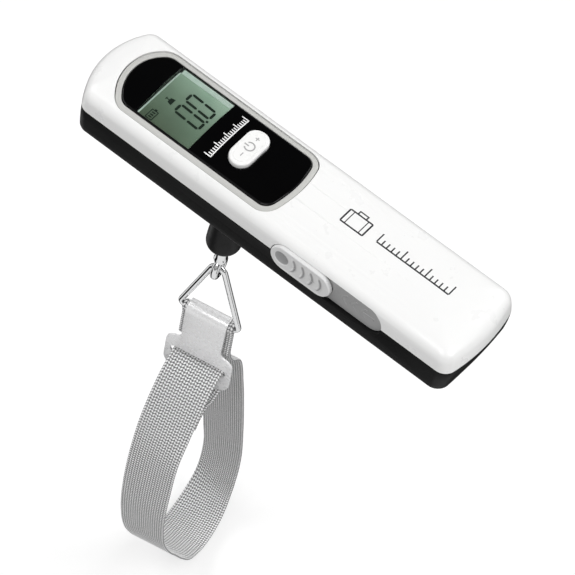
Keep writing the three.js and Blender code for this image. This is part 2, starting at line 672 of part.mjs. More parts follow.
function statorCore() {
  const z = [10, 12.6];
  const [x, y] = rotorCenter;
  const poles = cut(cylinder(8.2, z, rotorCenter, 32), cylinder(6, [9, 14], rotorCenter, 32),
    box([x - 0.6, x + 0.6], [y - 9, y + 9], [9, 14]));
  const legs = [-1, 1].map((side) => box([x + side * 8.6 - 1.5, x + side * 8.6 + 1.5], [y + 3, 14.3], z));
  return joined(poles, ...legs, box([x - 10.1, x + 10.1], [11.5, 14.3], z));
}

function statorCoil() {
  const [x] = rotorCenter;
  const size = { x: [x - 6.6, x + 6.6], y: [9.9, 15.9], z: [8.3, 14.3] };
  const bobbin = joined(
    box([size.x[0], size.x[0] + 0.8], size.y, size.z),
    box([size.x[1] - 0.8, size.x[1]], size.y, size.z),
    box(size.x, [size.y[0] + 0.6, size.y[1] - 0.6], [size.z[0] + 0.6, size.z[1] - 0.6]),
  );
  return cut(bobbin, box([x - 9, x + 9], [11.2, 14.6], [9.7, 12.9]));
}

function generatorBase() {
  const plate = box([56, 91], [-10.8, 9], PLATE_Z);
  const springPost = joined(
    box([86.2, 89], [-16, -10], PLATE_Z),
    box([86.2, 89], [-16, -12.2], [PLATE_Z[0], 8]),
  );
  const corners = [[57.6, 5.4], [89.3, -9]];
  const posts = corners.map((at) => cylinder(1.4, [4, TOP_PLATE_Z[0] - GAP], at, 12));
  const feet = corners.map((at) => cylinder(1.8, [FLOOR_Z + GAP, 3.2], at, 12));
  const holes = [driveCenter, stepCenter, rotorCenter].map(gearBore);
  return cut(joined(plate, springPost, ...posts, ...feet), ...holes);
}

function generatorTop() {
  const outline = [[55.8, -9], [66, -11], [91, -11], [91, 6], [78, 9], [55.8, 7.2]];
  const holes = [driveCenter, stepCenter, rotorCenter].map(gearBore);
  return cut(prism(outline, TOP_PLATE_Z), ...holes);
}

function axle(center) {
  return cylinder(AXLE_RADIUS, [PLATE_Z[0] + 0.2, TOP_PLATE_Z[1] - 0.2], center, 12);
}

function sliderTrackPlate() {
  const plate = pocketTool(-0.15, [TRACK_FACE_Y, TRACK_BACK_Y]);
  return cut(plate, box([30.4, 54], [-19, -15], [PARTING_Z - 1.4, PARTING_Z + 1.4]));
}

const sliderStart = POCKET_X[0] + 0.3;

function pushSlider() {
  const middle = [sliderStart + SLIDER_LENGTH / 2, PARTING_Z];
  const face = stadium(SLIDER_LENGTH, 2 * POCKET_HALF_HEIGHT - 0.6, 10, middle);
  const body = prismAlongY(face, [SLIDER_FACE_Y + 0.5, TRACK_FACE_Y - GAP]);
  const crown = prismAlongY(stadium(SLIDER_LENGTH - 1.2, 2 * POCKET_HALF_HEIGHT - 1.8, 10, middle),
    [SLIDER_FACE_Y, SLIDER_FACE_Y + 0.6]);
  const dimple = cylinderAlongY(2.9, [SLIDER_FACE_Y - 1, SLIDER_FACE_Y + 0.6], [33.8, PARTING_Z], 20);
  const stem = box([30.8, 33.2], [-18.2, -15.9], [PARTING_Z - 1.1, PARTING_Z + 1.1]);
  return joined(cut(joined(body, crown), dimple), stem);
}

function sliderRack() {
  const pitch = Math.PI * RACK_MODULE;
  const rootY = RACK_PITCH_Y - 1.25 * RACK_MODULE;
  const tipY = RACK_PITCH_Y + 0.8 * RACK_MODULE;
  const outline = [[29.6, -15.6], [66, -15.6], [66, rootY]];
  const firstTooth = Math.floor((65 - DRIVE_X) / pitch - 0.5);
  for (let i = firstTooth; i > firstTooth - 11; i -= 1) {
    const x = DRIVE_X + (i + 0.5) * pitch;
    outline.push([x + 0.29 * pitch, rootY], [x + 0.12 * pitch, tipY], [x - 0.12 * pitch, tipY],
      [x - 0.29 * pitch, rootY]);
  }
  outline.push([29.6, rootY]);
  const bar = prism(outline, RACK_Z);
  const notch = box([30.6, 33.4], [-16, -14.6], [PARTING_Z - 1.4, PARTING_Z + 1.4]);
  const lug = box([29.6, 33], [-15.6, rootY], [4.2, RACK_Z[0] + 0.2]);
  const rodHole = cylinderAlongX(1.15, [28, 35], SPRING_LINE, 12);
  return cut(joined(bar, lug), notch, rodHole);
}

function springRod() {
  return cylinderAlongX(0.8, [28.6, 85.9], SPRING_LINE, 12);
}

function returnSpring() {
  const turns = 13;
  const start = 33.3;
  const length = 52.5;
  class Helix extends THREE.Curve {
    getPoint(t) {
      const angle = 2 * Math.PI * turns * t;
      return new THREE.Vector3(start + 0.4 + (length - 0.8) * t,
        SPRING_LINE[0] + 1.35 * Math.cos(angle), SPRING_LINE[1] + 1.35 * Math.sin(angle));
    }
  }
  return tube(new Helix(), 0.25, 5, turns * 9);
}

// ---- Small electronics ----------------------------------------------------------------------
function capacitor() {
  return cylinderAlongX(2.3, [14.5, 23.5], [7.4, 10.6], 18);
}

function cable(points, steps) {
  const knots = points.map((point) => new THREE.Vector3(...point));
  return tube(new THREE.CatmullRomCurve3(knots, false, 'centripetal'), 0.55, 6, steps);
}

// ---- Assembly -------------------------------------------------------------------------------
function part(name, solid, material) {
  const mesh = new THREE.Mesh(toGeometry(solid), material);
  mesh.name = name;
  return mesh;
}

function housingGroup() {
  const group = new THREE.Group();
  group.add(part('upper_shell', upperShell(), whiteGloss()));
  group.add(part('lower_shell', lowerShell(), blackSatin()));
  HOUSING_SCREWS.forEach(([x, y], i) => {
    group.add(part(`housing_screw_${i + 1}`, housingScrew(x, y), steel()));
  });
  return group;
}

function displayGroup() {
  const group = new THREE.Group();
  group.add(part('display_bezel', displayBezel(), greyMatte()));
  group.add(part('display_lens', displayLens(), blackGloss()));
  group.add(part('lcd_window', lcdWindow(), plastic(0xc8d0cc, 0.05)));
  group.add(part('lcd_module', windowTool(-0.3, LCD_Z), plastic(0x8fae96, 0.2)));
  group.add(part('lcd_frame', lcdFrame(), acetal()));
  group.add(part('zebra_connector', zebraConnector(), rubber()));
  group.add(part('main_board', mainBoard(), plastic(0x1f5f3a, 0.5)));
  group.add(part('controller_chip', controllerChip(), rubber()));
  group.add(part('storage_capacitor', capacitor(), plastic(0x24356b, 0.3)));
  group.add(part('button_switch', buttonSwitch(), metal(0x9a9a9a, 0.4)));
  group.add(part('mode_button', modeButton(), plastic(0xf0f0f0, 0.3)));
  return group;
}

function loadGroup() {
  const group = new THREE.Group();
  group.add(part('load_cell', loadCell(), aluminium()));
  group.add(part('load_cell_base', loadCellBase(), steel()));
  CELL_SCREW_X.forEach((x, i) => group.add(part(`load_cell_screw_${i + 1}`, loadCellScrew(x), steel())));
  group.add(part('thrust_washer', thrustWasher(), steel()));
  group.add(part('neck_boot', neckBoot(), rubber()));
  return group;
}

function hangingGroup() {
  const group = new THREE.Group();
  group.rotation.z = STRAP_TURN;
  group.add(part('swivel_nut', swivelNut(), steel()));
  group.add(part('swivel_eye', swivelEye(), chrome()));
  group.add(part('triangle_link', triangleLink(), chrome()));
  group.add(part('hook_plate', hookPlate(), metal(0xc9c9c9, 0.25)));
  group.add(part('strap_back_run', strapBackRun(), webbingGrey()));
  group.add(part('strap_front_run', webbing(FRONT_RUN), webbingGrey()));
  return group;
}

function generatorGroup() {
  const group = new THREE.Group();
  group.add(part('slider_track_plate', sliderTrackPlate(), midGrey()));
  group.add(part('push_slider', pushSlider(), lightGrey()));
  group.add(part('slider_rack', sliderRack(), acetal()));
  group.add(part('spring_rod', springRod(), steel()));
  group.add(part('return_spring', returnSpring(), steel()));
  group.add(part('generator_base', generatorBase(), midGrey()));
  group.add(part('generator_top', generatorTop(), midGrey()));
  group.add(part('drive_gear', driveGear(), acetal()));
  group.add(part('step_up_gear', stepUpGear(), acetal()));
  group.add(part('drive_axle', axle(driveCenter), steel()));
  group.add(part('step_up_axle', axle(stepCenter), steel()));
  group.add(part('rotor_pinion', rotorPinion(), steel()));
  group.add(part('magnet_rotor', magnetRotor(), metal(0x3a3a3a, 0.4)));
  group.add(part('stator_core', statorCore(), steel()));
  group.add(part('stator_coil', statorCoil(), metal(0xb87333, 0.4)));
  return group;
}

function cableGroup() {
  const group = new THREE.Group();
  const lead = [[73.3, 12.9, 8.9], [68, 13.5, 8], [60, 13.8, 7], [48, 13, 6.5], [36, 11, 7.5],
    [28, 8, 10], [25.3, 6, 12.6]];
  group.add(part('generator_cable', cable(lead, 24), plastic(0xb03028, 0.5)));
  const gauge = [[-18, 6.9, 6.4], [-14, 9, 6.2], [-8, 10, 7.5], [-5, 10, 10.5], [-4, 9.6, 12.7]];
  group.add(part('load_cell_cable', cable(gauge, 16), plastic(0x30343a, 0.5)));
  return group;
}

const luggageScale = new THREE.Group();
luggageScale.add(housingGroup(), displayGroup(), loadGroup(), hangingGroup(), generatorGroup(), cableGroup());

export default luggageScale;
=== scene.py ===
"""Looks for the luggage scale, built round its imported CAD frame. Lengths are millimetres until settle()."""
from math import asin, atan2, ceil, cos, hypot, pi, radians, sin, sqrt, tan

import bmesh
import bpy
import numpy as np
from mathutils import Matrix, Vector
from mathutils.bvhtree import BVHTree


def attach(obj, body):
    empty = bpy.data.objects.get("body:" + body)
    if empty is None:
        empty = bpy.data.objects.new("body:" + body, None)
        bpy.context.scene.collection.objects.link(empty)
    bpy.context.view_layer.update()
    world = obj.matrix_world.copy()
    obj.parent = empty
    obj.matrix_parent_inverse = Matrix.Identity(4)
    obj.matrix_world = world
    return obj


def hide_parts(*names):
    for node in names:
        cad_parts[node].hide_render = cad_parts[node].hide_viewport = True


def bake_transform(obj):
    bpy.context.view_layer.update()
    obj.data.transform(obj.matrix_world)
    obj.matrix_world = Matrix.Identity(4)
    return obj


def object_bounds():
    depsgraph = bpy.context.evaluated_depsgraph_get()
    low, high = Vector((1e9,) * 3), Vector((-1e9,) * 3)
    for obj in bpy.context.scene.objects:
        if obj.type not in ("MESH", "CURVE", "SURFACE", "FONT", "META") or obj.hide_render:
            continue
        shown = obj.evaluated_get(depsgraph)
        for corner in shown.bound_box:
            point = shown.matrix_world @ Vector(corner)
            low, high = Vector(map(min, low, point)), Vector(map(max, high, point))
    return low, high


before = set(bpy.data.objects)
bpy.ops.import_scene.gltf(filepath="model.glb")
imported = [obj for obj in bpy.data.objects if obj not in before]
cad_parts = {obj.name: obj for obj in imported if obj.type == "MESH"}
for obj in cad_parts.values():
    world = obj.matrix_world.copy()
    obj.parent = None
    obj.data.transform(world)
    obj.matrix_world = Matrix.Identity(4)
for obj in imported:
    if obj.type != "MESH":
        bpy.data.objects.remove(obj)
cad_box = [list(corner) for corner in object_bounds()]
MM = 0.001
TAU = 2 * pi
QUARTER = pi / 2

# ---- Dimensions shared with the CAD source ----
HALF_WIDTH, DISPLAY_END, TAIL_END = 19.0, -59.4, 104.2
END_RADII, CORNER = (29.5, 75.0), 4.8
STEEPNESS = 0.65             # the display end's insets as a share of the tail's
PARTING = 11.3
CROWN = [(0, 0, 11.45), (0.2, 0.4, 14), (0.5, 1, 16.5), (1.2, 1.9, 18), (2.6, 3.5, 19.2),
         (4.2, 5.6, 19.95), (7, 9, 20.65), (11, 14, 21.3), (15, 20, 21.7), (18.7, 25.6, 21.8)]
LINING = [(1.8, 2.2, 11.45), (2.1, 2.6, 14), (2.6, 3.4, 16.2), (3.4, 4.2, 17.4), (5.4, 6.6, 18.2),
          (8, 10, 18.8), (14, 18, 19.5)]
TRAY = [(0.9, 0.9, 3.2, 0, 300), (0.65, 0.65, 2.9, 0.1, 290), (0.5, 0.5, 2.7, 0.25, 280),
        (0.3, 0.3, 2.3, 0.8, 240), (0.15, 0.15, 1.6, 3, 160), (0, 0, 0.7, 7, 105), (0, 0, 0, 11.15, 75)]
TRAY_LINING = [(2.4, 5, 1.9), (1.8, 2.2, 11.15)]
BEZEL_WIDTH = 2.3
WINDOW_X, WINDOW_HALF = (-35.4, -12.6), 12.5
LCD_Z = (17.9, 19.8)
BUTTON = (2.3, 0.8)
BUTTON_SIZE, BUTTON_RAISE = (16.8, 8.5), 1.2
POCKET_X, POCKET_HALF = (28.9, 75.3), 5.8
TRACK_Y = (-17.5, -16.2)
SLIDER_LENGTH, SLIDER_FACE = 24.8, -19.6
DIMPLE_X, GRIP_X, GRIP_RADIUS = 33.9, (39.2, 42.8, 46.4, 49.9), 4.4
ARROW_X = (58.0, 62.0, 66.0)
SCREWS = [(-53.5, -8), (-53.5, 8), (95.5, -10), (95.5, 10)]
EYE_Z, EYE_RADIUS, EYE_WIRE = -49.3, 3.6, 1.4
TURN = radians(10.5)
HANGING = ("eye", "link", "strap", "hook")
BAR_Z, BAR_HALF = -80.4, 11.9
HOOK_BOTTOM, HOOK_SHOULDER, HOOK_SLOT = -116.5, -97.0, (-107.6, -103.4)
WEB_WIDTH, WEB_THICK = 20.0, 0.9


# ---- Curves and outlines ----
def arc(cx, cy, radius, start, end, steps):
    """Points on an arc, both ends included."""
    t = np.linspace(start, end, steps + 1)
    return np.stack([cx + radius * np.cos(t), cy + radius * np.sin(t)], 1)


def smooth(points, step):
    """Centripetal Catmull-Rom curve through the points, at even spacing of about one step."""
    p = np.asarray(points, float)
    p = np.vstack([2 * p[0] - p[1], p, 2 * p[-1] - p[-2]])
    out = []
    for a, b, c, d in zip(p, p[1:], p[2:], p[3:]):
        k = [0.0]
        for q, r in ((a, b), (b, c), (c, d)):
            k.append(k[-1] + max(sqrt(np.linalg.norm(r - q)), 1e-6))
        t = np.linspace(k[1], k[2], 24, endpoint=False)[:, None]

        def between(near, far, i, j):
            return (k[j] - t) / (k[j] - k[i]) * near + (t - k[i]) / (k[j] - k[i]) * far
        ab, bc, cd = between(a, b, 0, 1), between(b, c, 1, 2), between(c, d, 2, 3)
        out.append(between(between(ab, bc, 0, 2), between(bc, cd, 1, 3), 1, 2))
    return spaced(np.vstack(out + [p[-2][None]]), step)


def lengths(line):
    """Distance along the line at each of its points."""
    return np.concatenate([[0], np.cumsum(np.linalg.norm(np.diff(line, axis=0), axis=1))])


def spaced(line, step):
    """The same line with its points at even spacing."""
    run = lengths(line)
    at = np.linspace(0, run[-1], max(2, round(run[-1] / step)) + 1)
    return np.stack([np.interp(at, run, line[:, i]) for i in range(line.shape[1])], 1)


def unit(vectors):
    return vectors / np.linalg.norm(vectors, axis=1)[:, None]


def leftward(along):
    """The directions turned a quarter turn to the left."""
    return np.column_stack([-along[:, 1], along[:, 0]])


def bowed(left, right, half, left_radius, right_radius, corner, steps=28, corner_steps=9):
    """A long outline with a bowed arc at each end and rounded corners, anticlockwise."""
    runs = []
    for apex, radius, side in ((right, right_radius, 1), (left, left_radius, -1)):
        centre = apex - side * radius
        y = half - corner
        x = centre + side * sqrt((radius - corner) ** 2 - y * y)
        swing = asin(y / (radius - corner))
        first = 0 if side > 0 else pi
        runs += [arc(x, -side * y, corner, first - pi / 2, first - swing, corner_steps),
                 arc(centre, 0, radius, first - swing, first + swing, steps)[1:-1],
                 arc(x, side * y, corner, first + swing, first + pi / 2, corner_steps)]
    return np.vstack(runs)


def plan(side, display, tail, tail_radius=END_RADII[1]):
    """The handle's plan outline, drawn in at the sides and at each end."""
    half = HALF_WIDTH - side
    corner = min(max(CORNER - side * 0.4, 1.5), half * 0.75)
    return bowed(DISPLAY_END + display, TAIL_END - tail, half, END_RADII[0], tail_radius, corner)


def panel(grow):
    """The display panel's outline, grown by that much."""
    return bowed(-46.5 - grow, 23.1 + grow, 13 + grow, 17.4 + grow, 35 + grow, 4.5 + grow, 24, 8)


def stadium(length, height, steps=16, centre=(0.0, 0.0)):
    """A centred slot outline, long along its first axis."""
    r = height / 2
    reach = length / 2 - r
    return np.vstack([arc(centre[0] + reach, centre[1], r, -pi / 2, pi / 2, steps),
                      arc(centre[0] - reach, centre[1], r, pi / 2, 3 * pi / 2, steps)])


def rounded_box(x, y, radius, steps=5):
    """A rectangle outline with rounded corners, anticlockwise."""
    in_from = (radius, -radius)
    return np.vstack([arc(x[i] + in_from[i], y[j] + in_from[j], radius, (k - 1) * QUARTER, k * QUARTER, steps)
                      for k, (i, j) in enumerate(((1, 0), (1, 1), (0, 1), (0, 0)))])


def dense(outline, step=1.2):
    """The closed outline with its long straight stretches divided."""
    out = []
    for a, b in zip(outline, np.roll(outline, -1, 0)):
        n = max(1, ceil(np.linalg.norm(b - a) / step))
        out += [a + (b - a) * i / n for i in range(n)]
    return np.array(out)


def inset(outline, depth):
    """The anticlockwise outline moved inward along its own normals."""
    ahead = unit(np.roll(outline, -1, 0) - outline)
    return outline + depth * leftward(unit(ahead + np.roll(ahead, 1, 0)))


def lift(outline, z):
    """An outline in the X-Y plane at height z."""
    return np.column_stack([outline, np.full(len(outline), float(z))])


def upright(outline, y):
    """An outline given in X and Z, standing at depth y."""
    return np.column_stack([outline[:, 0], np.full(len(outline), float(y)), outline[:, 1]])


def to_rest(points):
    """Turns points of the hanging group from its own width and depth axes to its place at rest."""
    p = np.asarray(points, float)
    c, s = cos(TURN), sin(TURN)
    return np.column_stack([c * p[:, 0] - s * p[:, 1], s * p[:, 0] + c * p[:, 1], p[:, 2]])


# ---- Meshes ----
def in_scene(name, data):
    obj = bpy.data.objects.new(name, data)
    bpy.context.scene.collection.objects.link(obj)
    return obj


def face_outward(mesh, merge=0.0):
    """Turns the faces outward, after joining points closer than merge."""
    bm = bmesh.new()
    bm.from_mesh(mesh)
    if merge:
        bmesh.ops.remove_doubles(bm, verts=bm.verts, dist=merge)
    bmesh.ops.recalc_face_normals(bm, faces=bm.faces)
    bm.to_mesh(mesh)
    bm.free()


def mesh_object(points, faces):
    """A working mesh in millimetres with its faces turned outward."""
    mesh = bpy.data.meshes.new("work")
    mesh.from_pydata([tuple(p) for p in np.asarray(points, float)], [], faces)
    face_outward(mesh, 1e-5)
    return in_scene("work", mesh)


def skin(first, count, n, closed=False):
    """Faces of a body through rings of n points: capped at both ends unless closed on itself."""
    faces = []
    for r in range(count if closed else count - 1):
        a, b = first + r * n, first + (r + 1) % count * n
        faces += [(a + i, a + (i + 1) % n, b + (i + 1) % n, b + i) for i in range(n)]
    if not closed:
        last = first + (count - 1) * n
        faces += [tuple(range(first, first + n))[::-1], tuple(range(last, last + n))]
    return faces


def loft(rings, closed=False):
    """A closed body through rings of equal point counts."""
    return mesh_object(np.vstack(rings), skin(0, len(rings), len(rings[0]), closed))


def prism(outline, z):
    return loft([lift(outline, z[0]), lift(outline, z[1])])


def rod(x, y, radius, z, sides=32):
    """An upright cylinder."""
    return prism(arc(x, y, radius, 0, TAU, sides)[:-1], z)


def lathe(profile, sides=72, centre=(0.0, 0.0)):
    """Rings of a body of revolution from its radius and height profile."""
    t = np.linspace(0, TAU, sides, endpoint=False)
    return [np.column_stack([centre[0] + r * np.cos(t), centre[1] + r * np.sin(t), np.full(sides, z)])
            for r, z in profile]


def sweep(line, radius, sides=24, closed=False):
    """Rings of a round wire along a line that lies in one upright plane through the width axis."""
    p = np.asarray(line, float)
    along = unit(np.roll(p, -1, 0) - np.roll(p, 1, 0) if closed else np.gradient(p, axis=0))
    normal = np.cross(p[1] - p[0], p[len(p) // 3] - p[0])
    normal = normal / np.linalg.norm(normal)
    t = np.linspace(0, TAU, sides, endpoint=False)
    return [c + radius * (np.outer(np.cos(t), a) + np.outer(np.sin(t), normal))
            for c, a in zip(p, np.cross(along, normal))]


def applied(obj):
    """The object with its modifiers made part of its mesh."""
    bpy.context.view_layer.update()
    shaped = bpy.data.meshes.new_from_object(obj.evaluated_get(bpy.context.evaluated_depsgraph_get()))
    obj.modifiers.clear()
    obj.data = shaped
    return obj


def carve(obj, *tools, how="DIFFERENCE"):
    """Cuts, joins or keeps what is common, and removes the tools."""
    for tool in tools:
        cut = obj.modifiers.new("cut", "BOOLEAN")
        cut.operation, cut.solver, cut.object = how, "EXACT", tool
        applied(obj)
        bpy.data.objects.remove(tool)
    return obj


def soften(obj, width, segments=2, angle=32):
    """Rounds the sharp edges."""
    bevel = obj.modifiers.new("edges", "BEVEL")
    bevel.width, bevel.segments, bevel.limit_method = width, segments, "ANGLE"
    bevel.angle_limit = radians(angle)
    return applied(obj)


def settle(obj, name, body, look, replaces=(), sharp=38):
    """Finishes a working mesh: metres, smooth shading, material and body."""
    mesh = obj.data
    co = np.zeros(len(mesh.vertices) * 3)
    mesh.vertices.foreach_get("co", co)
    co = co.reshape(-1, 3)
    co = (to_rest(co) if body in HANGING else co) * MM
    mesh.vertices.foreach_set("co", co.ravel())
    mesh.update()
    mesh.shade_smooth()
    mesh.set_sharp_from_angle(angle=radians(sharp))
    mesh.materials.clear()
    mesh.materials.append(LOOKS[look])
    obj.name = mesh.name = name
    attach(obj, body)
    if replaces:
        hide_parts(*replaces)


# ---- Materials ----
def wire(tree, node, sockets):
    """Sets each of the node's sockets to a value, or links it."""
    for key, value in sockets.items():
        if isinstance(value, bpy.types.NodeSocket):
            tree.links.new(value, node.inputs[key])
        else:
            node.inputs[key].default_value = value


def add(tree, kind, sockets=None, **settings):
    """A shader node with its settings and sockets."""
    node = tree.nodes.new("ShaderNode" + kind)
    for key, value in settings.items():
        setattr(node, key, value)
    wire(tree, node, sockets or {})
    return node


def output(tree, kind, sockets=None, **settings):
    """The new node's first output."""
    return add(tree, kind, sockets, **settings).outputs[0]


def calc(tree, operation, a, b=0.0, c=0.0):
    return output(tree, "Math", {0: a, 1: b, 2: c}, operation=operation)


def mixed(tree, factor, a, b, mode="MIX"):
    node = add(tree, "Mix", {0: factor, 6: a, 7: b}, data_type="RGBA", blend_type=mode)
    return node.outputs[2]


def remap(tree, value, low, high, to_low, to_high):
    sockets = {0: value, 1: low, 2: high, 3: to_low, 4: to_high}
    return output(tree, "MapRange", sockets)


def ramp(tree, value, steps):
    """A colour ramp through (position, colour) steps, where a bare number is a grey."""
    node = add(tree, "ValToRGB", {0: value})
    elements = node.color_ramp.elements
    elements[0].position, elements[1].position = steps[0][0], steps[-1][0]
    for position, _ in steps[1:-1]:
        elements.new(position)
    for element, (_, colour) in zip(elements, steps):
        element.color = (*(colour if isinstance(colour, tuple) else grey(colour)), 1)
    return node.outputs[0]


def grey(value):
    return (value, value, value)


def blank(name):
    """A new material with a principled shader, and its object coordinates in millimetres."""
    look = bpy.data.materials.new(name)
    look.use_nodes = True
    tree = look.node_tree
    tree.nodes.clear()
    shader = add(tree, "BsdfPrincipled")
    out = add(tree, "OutputMaterial", {0: shader.outputs[0]})
    coords = add(tree, "TexCoord").outputs["Object"]
    place = output(tree, "VectorMath", {0: coords, 3: 1000.0}, operation="SCALE")
    return look, tree, shader, out, place


def noise(tree, place, scale, detail=3.0, roughness=0.5, stretch=None):
    """Noise whose features are about one over scale millimetres across."""
    if stretch:
        place = output(tree, "VectorMath", {0: place, 1: stretch}, operation="MULTIPLY")
    sockets = {"Vector": place, "Scale": scale, "Detail": detail, "Roughness": roughness}
    return output(tree, "TexNoise", sockets)


def speckle(tree, place, scale, low, high, detail=3.0):
    """Noise spread over the range from low to high."""
    return remap(tree, noise(tree, place, scale, detail), 0.3, 0.7, low, high)


def grained(name, colour, rough, tint=0.05, grain=(1.2, 0.006), metal=0.0, coat=0.0, patch=0.05,
            swing=0.06, stretch=None, sheen=0.0, specular=0.5):
    """Plastic, rubber or metal with uneven colour and gloss, and a fine surface grain."""
    look, tree, shader, _, place = blank(name)
    cloud = speckle(tree, place, patch, 0, 1, 4)
    fleck = remap(tree, noise(tree, place, grain[0] * 1.7, 2), 0.35, 0.65, 0, 1)
    body = mixed(tree, cloud, (*colour, 1), (*[c * (1 - tint) for c in colour], 1))
    body = mixed(tree, calc(tree, "MULTIPLY", fleck, tint), body, (*[c * 0.6 for c in colour], 1))
    smear = noise(tree, place, patch * 6, 5, 0.6, stretch)
    gloss = remap(tree, smear, 0.3, 0.7, rough - swing, rough + swing)
    fine = noise(tree, place, grain[0], 3, 0.55, stretch)
    bump = add(tree, "Bump", {"Height": fine, "Distance": grain[1] * MM, "Strength": 1.0})
    wire(tree, shader, {"Base Color": body, "Roughness": gloss, "Metallic": metal, "Coat Weight": coat,
                        "Coat Roughness": 0.05, "Sheen Weight": sheen, "Specular IOR Level": specular,
                        "Normal": bump.outputs[0]})
    return look


def window_look():
    """Clear moulded window: seen through, with gloss that grows at grazing angles."""
    look, tree, shader, out, place = blank("clear_window")
    tree.nodes.remove(shader)
    tint = mixed(tree, noise(tree, place, 0.1), (0.97, 1, 0.98, 1), (0.9, 0.96, 0.93, 1))
    clear = output(tree, "BsdfTransparent", {"Color": tint})
    smear = speckle(tree, place, 0.3, 0.03, 0.09, 4)
    gloss = output(tree, "BsdfGlossy", {"Roughness": smear, "Color": (1, 1, 1, 1)})
    edge = output(tree, "Fresnel", {"IOR": 1.42})
    both = output(tree, "MixShader", {0: edge, 1: clear, 2: gloss})
    tree.links.new(both, out.inputs[0])
    return look


def lcd_look():
    """Grey-green liquid crystal glass with a faint cell pattern, and a painted reflection that lightens it
    towards the far right.
    """
    look, tree, shader, _, place = blank("lcd_glass")
    part = add(tree, "SeparateXYZ", {0: place})
    x = remap(tree, part.outputs[0], WINDOW_X[0], WINDOW_X[1], 0, 1)
    y = remap(tree, part.outputs[1], -WINDOW_HALF, WINDOW_HALF, 0, 1)
    across = calc(tree, "MULTIPLY_ADD", y, 0.8, calc(tree, "MULTIPLY", x, 0.25))
    cells = output(tree, "TexBrick", {"Vector": place, "Scale": 2.2, "Mortar Size": 0.012, "Bias": 0.0,
                                   "Color1": (1, 1, 1, 1), "Color2": (0.96, 0.98, 0.96, 1),
                                   "Mortar": (0.86, 0.9, 0.86, 1)})
    # Painted reflection: the grey-green glass lightens to pale towards the far right corner.
    glass = ramp(tree, across, ((0.08, (0.16, 0.19, 0.14)), (0.55, (0.31, 0.375, 0.305)),
                                (1.0, (0.64, 0.75, 0.66))))
    cloud = speckle(tree, place, 0.12, 0.92, 1.08)
    colour = mixed(tree, 1.0, glass, cells, "MULTIPLY")
    colour = output(tree, "HueSaturation", {"Color": colour, "Value": cloud})
    wire(tree, shader, {"Base Color": colour, "Roughness": 0.35})
    return look


def board_look():
    """Green solder mask with copper traces under it."""
    look, tree, shader, _, place = blank("circuit_board")
    lines = output(tree, "TexBrick", {"Vector": place, "Scale": 0.5, "Mortar Size": 0.05, "Bias": -0.2,
                                   "Color1": (0.012, 0.11, 0.04, 1), "Color2": (0.02, 0.15, 0.06, 1),
                                   "Mortar": (0.12, 0.3, 0.1, 1)})
    shade = speckle(tree, place, 0.4, 0.85, 1.15)
    colour = output(tree, "HueSaturation", {"Color": lines, "Value": shade})
    wire(tree, shader, {"Base Color": colour, "Roughness": 0.35})
    return look


def winding_look():
    """Enamelled copper wire laid in even turns, with painted shade between the turns and lighter crests."""
    look, tree, shader, _, place = blank("copper_coil")
    turns = add(tree, "TexWave", {"Vector": place, "Scale": 1.6, "Distortion": 0.4}, bands_direction="X")
    # Painted shade and highlight: dark copper in the grooves between turns, bright copper on their crests.
    shade = mixed(tree, turns.outputs[1], (0.22, 0.07, 0.02, 1), (0.75, 0.33, 0.14, 1))
    bump = add(tree, "Bump", {"Height": turns.outputs[1], "Distance": 0.12 * MM})
    wire(tree, shader, {"Base Color": shade, "Normal": bump.outputs[0], "Metallic": 0.8, "Roughness": 0.35})
    return look


def webbing_look():
    """Woven polyester: pale yarn floats, with painted shade near black in the gaps between them; fibres along
    each yarn, soft sheen.
    """
    look, tree, shader, _, place = blank("webbing")
    relief = add(tree, "Attribute", attribute_name="relief").outputs["Fac"]
    where = output(tree, "UVMap")
    flat = output(tree, "VectorMath", {0: where, 3: 100.0}, operation="SCALE")
    fibres = noise(tree, flat, 1.0, 4, 0.65, (9.0, 2.2, 1.0))
    patch = speckle(tree, place, 0.09, 0, 1, 3)
    # Painted shade: the yarn colour falls to near black where the weave height is low, in the gaps between
    # floats.
    lit = calc(tree, "ADD", relief, remap(tree, fibres, 0.3, 0.7, -0.14, 0.14))
    yarn = ramp(tree, lit, ((0.34, (0.012, 0.012, 0.013)), (0.58, (0.36, 0.36, 0.365)), (0.82, 0.98)))
    colour = mixed(tree, calc(tree, "MULTIPLY", patch, 0.16), yarn, (0.5, 0.5, 0.51, 1))
    bump = add(tree, "Bump", {"Height": fibres, "Distance": 0.06 * MM, "Strength": 0.9})
    wire(tree, shader, {"Base Color": colour, "Normal": bump.outputs[0], "Roughness": 0.82,
                        "Sheen Weight": 0.25})
    return look


def thumb_look():
    """Light grey moulding whose pad and grip steps are darkened with painted shade."""
    look = grained("light_grey_plastic", grey(0.80), 0.38, grain=(2.6, 0.006))
    tree = look.node_tree
    shader = next(n for n in tree.nodes if n.type == "BSDF_PRINCIPLED")
    unshaded_grey = shader.inputs["Base Color"].links[0].from_socket
    # Painted shade: a mask over the thumb dimple and the grip steps mixes the grey towards dark grey.
    painted_step_shade = add(tree, "Attribute", attribute_name="painted_step_shade").outputs["Fac"]
    tree.links.new(mixed(tree, painted_step_shade, unshaded_grey, (0.2, 0.2, 0.205, 1)), shader.inputs["Base Color"])
    return look


